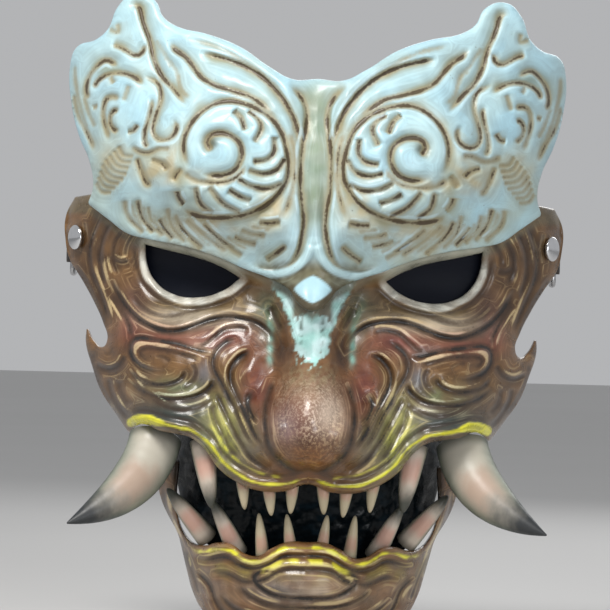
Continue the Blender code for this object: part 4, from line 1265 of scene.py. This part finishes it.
def horn_mesh(route, radii, around, flutes, flute_depth, seed):
    """A closed tapering horn, with fields for the way along it, for how far its surface turns from the
    front, and for left to right.
    """
    _, sides, ups = route_frames(route)
    angle = np.linspace(0, 2 * math.pi, around, endpoint=False)
    along = np.linspace(0, 1, len(route))
    rng = np.random.default_rng(seed)
    wobble = np.zeros((len(route), around))
    for k in range(1, 5):
        phase = rng.uniform(0, 2 * math.pi, 2)
        wobble += 0.008 * np.sin(k * angle[None, :] + phase[0]) * np.sin(3 * k * along[:, None] + phase[1])
    ring = sides[:, None, :] * np.cos(angle)[None, :, None] + ups[:, None, :] * np.sin(angle)[None, :, None]
    drift = 0.8 * np.sin(2.2 * along[:, None] + seed)
    flute = np.abs(np.sin(flutes / 2 * angle[None, :] + drift)) ** 0.7
    hollow = (1 - flute) * np.clip(1 - along[:, None] * 1.15, 0, 1)
    growth = 0.004 * np.sin(60 * along[:, None] + 2 * np.sin(angle[None, :])) * (1 - along[:, None])
    radius = radii[:, None] * (1 + wobble + growth - flute_depth * hollow)
    vertices = (route[:, None, :] + ring * radius[:, :, None]).reshape(-1, 3)
    tip = route[-1] + (route[-1] - route[-2]) / np.linalg.norm(route[-1] - route[-2]) * radii[-1] * 0.7
    vertices = np.vstack([vertices, route[:1], tip[None]])
    faces = tube_faces(len(route), around)
    root, point = len(vertices) - 2, len(vertices) - 1
    last = (len(route) - 1) * around
    for j in range(around):
        faces.append((root, (j + 1) % around, j))
        faces.append((point, last + j, last + (j + 1) % around))
    marks = np.zeros((len(vertices), 3))
    marks[:-2, 0] = np.repeat(along, around)
    marks[-1, 0] = 1.0
    # how far the surface turns from the front, which the paint uses for painted shade on the sides
    marks[:-2, 1] = (1 - np.clip(-ring[:, :, 1], 0, 1)).ravel()
    marks[:-2, 2] = (0.5 + 0.5 * ring[:, :, 0]).ravel()
    return vertices, faces, marks


def to_world(point, side):
    """A point of the right half, as x, z and depth, in the mask's x, y and z on the given side."""
    return np.array([point[0] * side, -point[2], point[1]], float)


def make_tooth(node, side, tooth, bow, material, seed, flutes=7, steps=44, around=36):
    """One tooth that bows forwards between its root and its tip."""
    root, tip, radius = tooth
    t = np.linspace(0, 1, steps)[:, None]
    route = to_world(root, side) * (1 - t) + to_world(tip, side) * t
    route[:, 1] -= (bow * 4 * t * (1 - t))[:, 0]
    radii = radius * (0.97 * np.sqrt(np.maximum(1 - t[:, 0] ** 2.6, 0)) * (1 - 0.32 * t[:, 0]) + 0.02)
    vertices, faces, marks = horn_mesh(route, radii, around, flutes, 0.04, seed)
    return stand_for(node, vertices, faces, material, colours={"marks": marks})


def make_tusk(side, label, material):
    """A tusk that leaves the corner of the lip downwards and sweeps out and forwards."""
    p0, p1, p2, p3 = (to_world(point, side) for point in TUSK)
    t = np.linspace(0, 1, 120)[:, None]
    route = (1 - t) ** 3 * p0 + 3 * t * (1 - t) ** 2 * p1 + 3 * t**2 * (1 - t) * p2 + t**3 * p3
    radii = TUSK_RADIUS * np.maximum(1 - t[:, 0] ** TUSK_TAPER, 0) + 0.35
    vertices, faces, marks = horn_mesh(route, radii, 96, 9, 0.0, 41 if side > 0 else 42)
    stand_for("tusk_" + label, vertices, faces, material, colours={"marks": marks})


def rivet_frame(side):
    """The rivet's place: X along the tab, Y up, Z out of the mask along the rivet's axis, in millimetres."""
    step = 0.5
    slope = (face_depth(RIVET_X + step, RIVET_Z) - face_depth(RIVET_X - step, RIVET_Z)) / (2 * step)
    out = Vector((-slope * side, -1, 0)).normalized()
    up = Vector((0, 0, 1))
    back = up.cross(out) * side
    placed = Matrix((back * side, up, out)).transposed().to_4x4()
    placed.translation = Vector((RIVET_X * side, -face_depth(RIVET_X, RIVET_Z), RIVET_Z))
    return placed


def turned(profile, steps, placed):
    """A solid of revolution about Z; the profile runs from the axis, or round a closed ring."""
    profile = np.array(profile, float)
    closed = profile[0][0] > 1e-6
    vertices = []
    for k in range(steps):
        angle = 2 * math.pi * k / steps
        for radius, height in profile:
            vertices.append(placed @ Vector((radius * math.cos(angle), radius * math.sin(angle), height)))
    count = len(profile)
    faces = []
    for k in range(steps):
        here, there = k * count, (k + 1) % steps * count
        for i in range(count if closed else count - 1):
            j = (i + 1) % count
            faces.append((here + i, here + j, there + j, there + i))
    shape = bmesh.new()
    points = [shape.verts.new(vertex) for vertex in vertices]
    shape.verts.ensure_lookup_table()
    for face in faces:
        shape.faces.new([points[i] for i in face])
    bmesh.ops.remove_doubles(shape, verts=shape.verts, dist=0.001)
    bmesh.ops.recalc_face_normals(shape, faces=shape.faces)
    shape.verts.index_update()
    vertices = np.array([vertex.co for vertex in shape.verts])
    faces = [[vertex.index for vertex in face.verts] for face in shape.faces]
    shape.free()
    return vertices, faces


def rounded_profile(corners, radius, steps=4):
    """A closed profile whose corners are rounded off."""
    corners = np.array(corners, float)
    points = []
    for k in range(len(corners)):
        here, before, after = corners[k], corners[k - 1], corners[(k + 1) % len(corners)]
        size = min(radius, np.linalg.norm(before - here) / 2.2, np.linalg.norm(after - here) / 2.2)
        start = here + (before - here) / np.linalg.norm(before - here) * size
        end = here + (after - here) / np.linalg.norm(after - here) * size
        for t in np.linspace(0, 1, steps):
            points.append((1 - t) ** 2 * start + 2 * t * (1 - t) * here + t**2 * end)
    return points


def stack_depths():
    """The heights of the washer's, the tab's and the rivet tail's outer faces on the rivet's axis."""
    washer_top = -(WALL + WALL_GAP)
    tab_top = washer_top - WASHER_THICKNESS - STEEL_GAP
    return washer_top, tab_top, tab_top - TAB_THICKNESS - STEEL_GAP


def make_rivet(side, label, material):
    """Domed cap, shank and rolled tail."""
    tail_top = stack_depths()[2]
    rise = STEEL_GAP
    dome_base = rise + 0.55
    cap = [
        (CAP_RADIUS * math.sin(a), dome_base + (CAP_HEIGHT - 0.55) * math.cos(a) + 0.35)
        for a in np.linspace(0, math.pi / 2, 14)
    ]
    edge = [(CAP_RADIUS, dome_base), (CAP_RADIUS - 0.2, rise), (SHANK_RADIUS + 0.3, rise),
            (SHANK_RADIUS, rise - 0.3)]
    tail = [
        (SHANK_RADIUS, tail_top + 0.3), (SHANK_RADIUS + 0.3, tail_top), (TAIL_RADIUS - 0.2, tail_top),
        (TAIL_RADIUS, tail_top - 0.25), (TAIL_RADIUS - 0.25, tail_top - TAIL_RIM), (2.2, tail_top - 1.25),
        (1.2, tail_top - 0.9), (0, tail_top - 0.6),
    ]
    vertices, faces = turned(cap + edge + tail, 48, rivet_frame(side))
    stand_for("temple_rivet_" + label, vertices, faces, material)


def make_washer(side, label, material):
    """A pressed washer with rolled edges."""
    top = stack_depths()[0]
    corners = [
        (BORE_RADIUS, top), (BORE_RADIUS, top - WASHER_THICKNESS), (WASHER_RADIUS, top - WASHER_THICKNESS),
        (WASHER_RADIUS, top),
    ]
    vertices, faces = turned(rounded_profile(corners, 0.4), 48, rivet_frame(side))
    stand_for("rivet_washer_" + label, vertices, faces, material)


def ring_centre(side):
    """Centre of the tab's rolled end."""
    middle = stack_depths()[1] - TAB_THICKNESS / 2
    return rivet_frame(side) @ Vector((TAB_LENGTH * side, 0, middle))


def make_ring(side, label, material):
    """A rectangular wire ring with round corners and a small weld."""
    centre = np.array(ring_centre(side))
    half = RING_HEIGHT / 2
    route = []
    for y0, z0, start in ((RING_REACH, half, 0), (0, half, 90), (0, -half, 180), (RING_REACH, -half, 270)):
        middle_y = y0 - RING_CORNER if y0 else RING_CORNER
        middle_z = z0 - math.copysign(RING_CORNER, z0)
        for a in np.radians(np.linspace(start, start + 90, 10)):
            route.append((0, middle_y + RING_CORNER * math.cos(a), middle_z + RING_CORNER * math.sin(a)))
    route = np.array(route + route[:1])
    dense = np.concatenate([np.linspace(a, b, max(int(np.linalg.norm(b - a) / 0.6), 1), endpoint=False)
                            for a, b in zip(route[:-1], route[1:])])
    tangents = np.roll(dense, -1, axis=0) - np.roll(dense, 1, axis=0)
    tangents /= np.linalg.norm(tangents, axis=1)[:, None]
    first = np.array([1.0, 0, 0])
    second = np.cross(tangents, first)
    weld = np.exp(-(((dense[:, 1] - RING_REACH) / 0.6) ** 2) - ((dense[:, 2] - 2) / 0.7) ** 2)
    angle = np.linspace(0, 2 * math.pi, 16, endpoint=False)
    radius = WIRE_RADIUS * (1 + 0.1 * weld)
    ring = first * np.cos(angle)[None, :, None] + second[:, None, :] * np.sin(angle)[None, :, None]
    vertices = (dense[:, None, :] + ring * radius[:, None, None]).reshape(-1, 3) + centre
    faces = tube_faces(len(dense), len(angle), closed=True)
    stand_for("strap_ring_" + label, vertices, faces, material, label + "_ring")


def make_tab(side, label, material, thread_material):
    """A leather strip folded round the ring's bar, stitched and pinned by the rivet."""
    placed = rivet_frame(side)
    middle = stack_depths()[1] - TAB_THICKNESS / 2
    layer = TAB_THICKNESS / 2 - 0.03
    offset = TAB_THICKNESS / 4
    loop_radius = BARREL_RADIUS - (BARREL_RADIUS - BARREL_BORE) / 2
    angles = np.radians(np.linspace(150, -150, 40))
    loop = [(TAB_LENGTH + loop_radius * math.cos(a), loop_radius * math.sin(a)) for a in angles]
    straight = np.linspace(-TAB_END_RADIUS + 0.02, TAB_LENGTH - 4.4, 40)
    path = [(s, offset) for s in straight] + loop + [(s, -offset) for s in straight[::-1]]
    path = np.array(path)
    tangents = np.gradient(path, axis=0)
    tangents /= np.linalg.norm(tangents, axis=1)[:, None]
    normals = np.stack([-tangents[:, 1], tangents[:, 0]], axis=1)
    half = np.full(len(path), TAB_WIDTH / 2)
    round_end = path[:, 0] < 0
    ends = path[round_end, 0]
    arc = np.sqrt(np.maximum(TAB_END_RADIUS**2 - ends**2, 0.3))
    half[round_end] = np.minimum(arc + 3 * ease(1 + ends / TAB_END_RADIUS), TAB_WIDTH / 2)
    around = 28
    angle = np.linspace(0, 2 * math.pi, around, endpoint=False)
    flat = np.sign(np.cos(angle)) * np.abs(np.cos(angle)) ** 0.12
    thick = np.sign(np.sin(angle)) * np.abs(np.sin(angle)) ** 0.5
    vertices = []
    for (s, n), (ns, nn), width in zip(path, normals, half):
        for f, h in zip(flat, thick):
            up = f * width
            out = h * layer / 2
            vertices.append(placed @ Vector(((s + ns * out) * side, up, middle + n + nn * out)))
    faces = tube_faces(len(path), around, capped=True)
    tab = stand_for("strap_tab_" + label, np.array(vertices), faces, material, label + "_tab")
    face_outwards(tab)
    make_stitches(side, label, placed, middle, thread_material)


def make_stitches(side, label, placed, middle, material):
    """Two rows of thread across the tab, in front of its rolled end."""
    vertices, faces = [], []
    around, rings = 8, 9
    for row in (TAB_LENGTH - 6.5, TAB_LENGTH - 9.5):
        for k in range(-3, 4):
            for face_side in (1, -1):
                start = len(vertices)
                for i in range(rings):
                    t = i / (rings - 1)
                    lift = TAB_THICKNESS / 2 + 0.28 * math.sin(math.pi * t) - 0.12
                    radius = 0.22 * (0.35 + 0.65 * math.sin(math.pi * t) ** 0.5)
                    for j in range(around):
                        a = 2 * math.pi * j / around
                        place = Vector((
                            (row + radius * math.cos(a)) * side,
                            2.55 * k + (t - 0.5) * 1.9,
                            middle + face_side * lift + radius * math.sin(a),
                        ))
                        vertices.append(placed @ place)
                faces += tube_faces(rings, around, start, capped=True)
    piece = add_piece("tab_stitches_" + label, np.array(vertices), faces, [material], label + "_tab", None)
    face_outwards(piece)


PAD_CROWN_REACH, PAD_SEAM_INSET, PAD_SEAM_DEPTH = 5.5, 2.2, 0.9


def make_pad(node, outline, step, depth, material):
    """A crowned foam pad glued inside a shell, with a stitched edge."""
    loops = [outline_loop(outline)]
    glued = behind(depth, WALL + JOIN_GAP)

    def inner(x, z):
        edge = np.abs(nearest(loops[0], x, z)[0])
        crown = 0.35 + 0.65 * np.sqrt(np.clip(1 - (1 - np.clip(edge / PAD_CROWN_REACH, 0, 1)) ** 2, 0, 1))
        seam = PAD_SEAM_DEPTH * np.exp(-(((edge - PAD_SEAM_INSET) / 0.5) ** 2))
        full = glued(x, z) - behind(depth, WALL + JOIN_GAP + PAD_THICKNESS)(x, z)
        uneven = 0.5 * (waves(x, z, 10, 51) - 0.5) * np.clip(edge / 4, 0, 1)
        return glued(x, z) - full * crown + seam + uneven

    vertices, faces, _, _ = sheet_mesh(loops, step, glued, inner, None, 0.9)
    stand_for(node, vertices, faces, material)


# ---- The mask ----

# Grid steps
FACE_STEP, CREST_STEP, JAW_STEP, LINER_STEP, LENS_STEP, PAD_STEP = 0.62, 0.64, 0.55, 0.8, 0.9, 0.6
FOREHEAD_PAD_STEP = 0.7


def eye_rims(eye_loop):
    """Raised lids round the eye openings, and the marks of the lids, the lips and the stippled nose."""

    def extra(x, z, art, marks):
        far = np.abs(nearest(eye_loop, np.abs(x), z)[0])
        below = ease((8 - (z - through(BROW_EDGE, np.abs(x)) + 11)) / 5)
        lid = np.clip(1 - ((far - 1.2) / 2.2) ** 2, 0, 1) * below
        art.line[:] = np.maximum(art.line, 0.7 * np.clip(1 - np.abs(far - 3.7) / 1.8, 0, 1) * below)
        # the tone round the groove beside the lid is wash with painted shade; it darkens the face there
        art.tone[:] = np.maximum(art.tone, 0.8 * np.exp(-(np.abs(far - 4.4) / 2.2)) * below)
        lid_width = 2.9 + 0.8 * (waves(x, z, 14, 60) - 0.5)
        marks["lid"][:] = ease((lid_width - far) / 0.9) * below * (0.6 + 0.4 * waves(x, z, 8, 61))
        lip_far, lip_along, _, _ = nearest(smooth_line(LIP_LINE), np.abs(x), z)
        inner_far, inner_along, _, _ = nearest(smooth_line(LIP_INNER), np.abs(x), z)
        width = 0.7 + 1.6 * np.exp(-(((lip_along - 0.05) / 0.1) ** 2)) + 0.4 * waves(x, z, 12, 64)
        painted = ease((width - np.abs(lip_far)) / 0.8 + 0.4 * (waves(x, z, 5, 62) - 0.5))
        painted = painted * ease((np.abs(x) - 2.5) / 3)
        second = ease((0.9 - np.abs(inner_far)) / 0.9) * ease(inner_along / 0.3) * waves(x, z, 6, 63)
        marks["lip"][:] = np.maximum(painted, 0.8 * second)
        ball = ease((15 - np.abs(x)) / 4) * ease((z + 78) / 6) * ease((-36 - z) / 8)
        # the stippling is paint, made denser on the upper right of the ball as a painted highlight
        marks["stipple"][:] = ball * (0.25 + 0.75 * spot(x, z, 5, -56, 8, 11))
        groove = np.clip(1 - np.abs(far - 4.2) / 2.4, 0, 1) ** 2 * below
        return 0.8 * lid**0.8 - groove

    return extra


def jaw_lips(x, z, art, marks):
    """Yellow paint on the lower lip and, broken up, on the band below it."""
    lip_far, _, _, _ = nearest(smooth_line(JAW_LIP), np.abs(x), z)
    band_far, _, _, _ = nearest(smooth_line(JAW_BAND), np.abs(x), z)
    front = ease((48 - np.abs(x)) / 8)
    worn = 0.35 + 0.65 * ease((waves(x, z, 6, 73) - 0.15) / 0.5)
    painted = ease((1.0 + 0.9 * (waves(x, z, 7, 71) - 0.5) - np.abs(lip_far)) / 1.0) * front
    middle = ease((19 - np.abs(x)) / 4)
    second = ease((1.5 - np.abs(band_far)) / 1.0) * ease((waves(x, z, 8, 72) - 0.15) / 0.5) * middle
    painted = painted * worn
    marks["lip"][:] = np.maximum(painted, 0.75 * second)
    return np.zeros(x.shape)


def liner_relief(x, z, used):
    """Coarse brushed ridges."""
    return {"relief": 1.2 * (waves(x, z, 9, 81) - 0.5) + 0.4 * (waves(x, z, 4, 82) - 0.5)}


def make_shells():
    """Crest, face, jaw, liner, lenses and pads."""
    coarser = 1.0
    lacquer = inner_lacquer()
    ivory = painted_resin("crest_paint", (158, 146, 114), (70, 53, 30), 0.34, 0.2, (0.88, 1.06), 0.12, 0.5)
    bronze = painted_resin("face_paint", (58, 38, 22), (22, 16, 12), 0.24, 0.34, (0.66, 1.2), 0.42, 0.95)
    crest_loop = outline_loop(both_sides(CREST_OUTLINE))
    carved_shell("brow_crest", [crest_loop], CREST_STEP * coarser, crest_depth,
                 crest_strokes, crest_paint, ivory, lacquer)
    eyes = [outline_loop(mirrored(EYE_OUTLINE, side)) for side, _ in SIDES]
    face_loop = outline_loop(both_sides(FACE_OUTLINE))
    round_hole = np.linspace(0, 360, 33)
    rivet_holes = [polar((RIVET_X * side, RIVET_Z), round_hole, BORE_RADIUS) for side, _ in SIDES]
    carved_shell("face_shell", [face_loop] + eyes + rivet_holes, FACE_STEP * coarser,
                 flange_depth, face_strokes, face_paint, bronze, lacquer, 0.0, eye_rims(eyes[0]))
    jaw_loop = outline_loop(both_sides(JAW_OUTLINE))
    carved_shell("jaw_shell", [jaw_loop], JAW_STEP * coarser, jaw_depth,
                 jaw_strokes, jaw_paint, bronze, lacquer, None, jaw_lips)
    plain_sheet("mouth_liner", both_sides(LINER_OUTLINE), LINER_STEP * coarser,
                liner_depth, behind(liner_depth, LINER_WALL), mouth_gloss(), extra=liner_relief)
    lens_material = smoked_lens()
    pad_material = foam()
    eighths = np.radians(range(0, 360, 45))
    for side, label in SIDES:
        plain_sheet("eye_lens_" + label, mirrored(LENS_OUTLINE, side), LENS_STEP * coarser,
                    behind(face_depth, WALL + JOIN_GAP), behind(face_depth, WALL + JOIN_GAP + LENS_WALL),
                    lens_material)
        cheek = [(58 * side + 13 * math.cos(a), -34 + 11 * math.sin(a)) for a in eighths]
        make_pad("cheek_pad_" + label, cheek, PAD_STEP * coarser, face_depth, pad_material)
    make_pad("forehead_pad", FOREHEAD_PAD_OUTLINE, FOREHEAD_PAD_STEP * coarser, crest_depth, pad_material)


def make_teeth():
    """Rows of teeth, canines, fangs and tusks."""
    small = horn_paint("tooth_paint", 0.85, (0.1, 0.4),
                       (190, 176, 146), (192, 152, 130), (128, 132, 112), (96, 90, 70))
    fang = horn_paint("fang_paint", 0.55, (0.15, 0.45),
                      (206, 192, 176), (206, 160, 142), (112, 116, 96), (56, 60, 52))
    tusk = horn_paint("tusk_paint", 0.58, (0.3, 0.6),
                      (186, 180, 166), (176, 150, 132), (120, 130, 114), (18, 26, 34))
    for stem, teeth, bow in (("upper_tooth", UPPER_TEETH, 1.0), ("lower_tooth", LOWER_TEETH, 0.8)):
        for number, tooth in enumerate(teeth, 1):
            for side, label in SIDES:
                seed = number + (10 if side > 0 else 20)
                make_tooth(f"{stem}_{label}_{number}", side, tooth, bow, small, seed)
    large = (("upper_canine", UPPER_CANINE), ("lower_fang_inner", INNER_FANG),
             ("lower_fang_outer", OUTER_FANG))
    for number, (stem, tooth) in enumerate(large):
        for side, label in SIDES:
            seed = number + (30 if side > 0 else 35)
            make_tooth(f"{stem}_{label}", side, tooth, 1.5, fang, seed, flutes=9, steps=64, around=48)
    for side, label in SIDES:
        make_tusk(side, label, tusk)


def make_hardware():
    """Rivets, washers, leather tabs and wire rings."""
    bright, satin, hide, waxed = chrome(), steel(), leather(), thread()
    for side, label in SIDES:
        make_rivet(side, label, bright)
        make_washer(side, label, satin)
        make_tab(side, label, hide, waxed)
        make_ring(side, label, satin)


# ---- Studio ----

FLOOR_Z, FLOOR_REACH = -0.1448, 6.0
CAMERA_TARGET = Vector((-0.0029, -0.03, -0.0121))
CAMERA_DISTANCE, CAMERA_LENS, CAMERA_ROLL = 1.6944, 250.0, math.radians(1.45)
WORLD_COLOUR, WORLD_STRENGTH = (0.90, 0.91, 0.93, 1), 0.5
# name, place, target, size, power and colour
LIGHTS = (
    ("key", (-0.32, -0.62, 0.76), (0, -0.05, 0), (0.45, 0.3), 9.4, (1.0, 0.98, 0.95)),
    ("fill", (0.55, -1.1, 0.0), (0, -0.05, 0), (0.5, 0.6), 4.0, (0.95, 0.98, 1.0)),
    ("back", (0.3, 0.9, 0.5), (0, 0, 0), (0.8, 0.5), 3.0, (1.0, 1.0, 1.0)),
)


def make_floor():
    """A plain pale floor."""
    mesh = bpy.data.meshes.new("floor")
    corners = [(x * FLOOR_REACH, y * FLOOR_REACH, FLOOR_Z) for x, y in ((-1, -1), (1, -1), (1, 1), (-1, 1))]
    mesh.from_pydata(corners, [], [(0, 1, 2, 3)])
    floor = bpy.data.objects.new("floor", mesh)
    bpy.context.scene.collection.objects.link(floor)
    shader = Shader("floor_paint")
    inputs = {"Scale": 3.0, "Detail": 2.0, "Vector": shader.place}
    cloudy = shader.add("ShaderNodeTexNoise", inputs).outputs[0]
    shader.drive("Base Color", shader.mix(cloudy, (0.50, 0.497, 0.49, 1), (0.54, 0.537, 0.53, 1)))
    shader.drive("Roughness", shader.remap(cloudy, 0.3, 0.7, 0.6, 0.75))
    mesh.materials.append(shader.material)


def make_light(name, place, target, size, power, tone):
    """A rectangular area light that faces a point."""
    data = bpy.data.lights.new(name, "AREA")
    data.shape = "RECTANGLE"
    data.size, data.size_y = size
    data.energy = power
    data.color = tone
    light = bpy.data.objects.new(name, data)
    bpy.context.scene.collection.objects.link(light)
    light.location = place
    light.rotation_euler = (Vector(target) - Vector(place)).to_track_quat("-Z", "Y").to_euler()


def make_studio():
    """Pale surroundings, soft lights and the camera."""
    make_floor()
    world = bpy.data.worlds.new("pale_room")
    bpy.context.scene.world = world
    world.use_nodes = True
    background = world.node_tree.nodes["Background"].inputs
    background["Color"].default_value = WORLD_COLOUR
    background["Strength"].default_value = WORLD_STRENGTH
    for light in LIGHTS:
        make_light(*light)
    data = bpy.data.cameras.new("camera")
    data.lens = CAMERA_LENS
    data.clip_start = 0.01
    camera = bpy.data.objects.new("camera", data)
    bpy.context.scene.collection.objects.link(camera)
    turn = Matrix.Rotation(math.radians(90), 4, "X") @ Matrix.Rotation(CAMERA_ROLL, 4, "Z")
    camera.matrix_world = Matrix.Translation(CAMERA_TARGET + Vector((0, -CAMERA_DISTANCE, 0))) @ turn
    bpy.context.scene.camera = camera
    bpy.context.scene.view_settings.view_transform = "Standard"


make_shells()
make_teeth()
make_hardware()
make_studio()
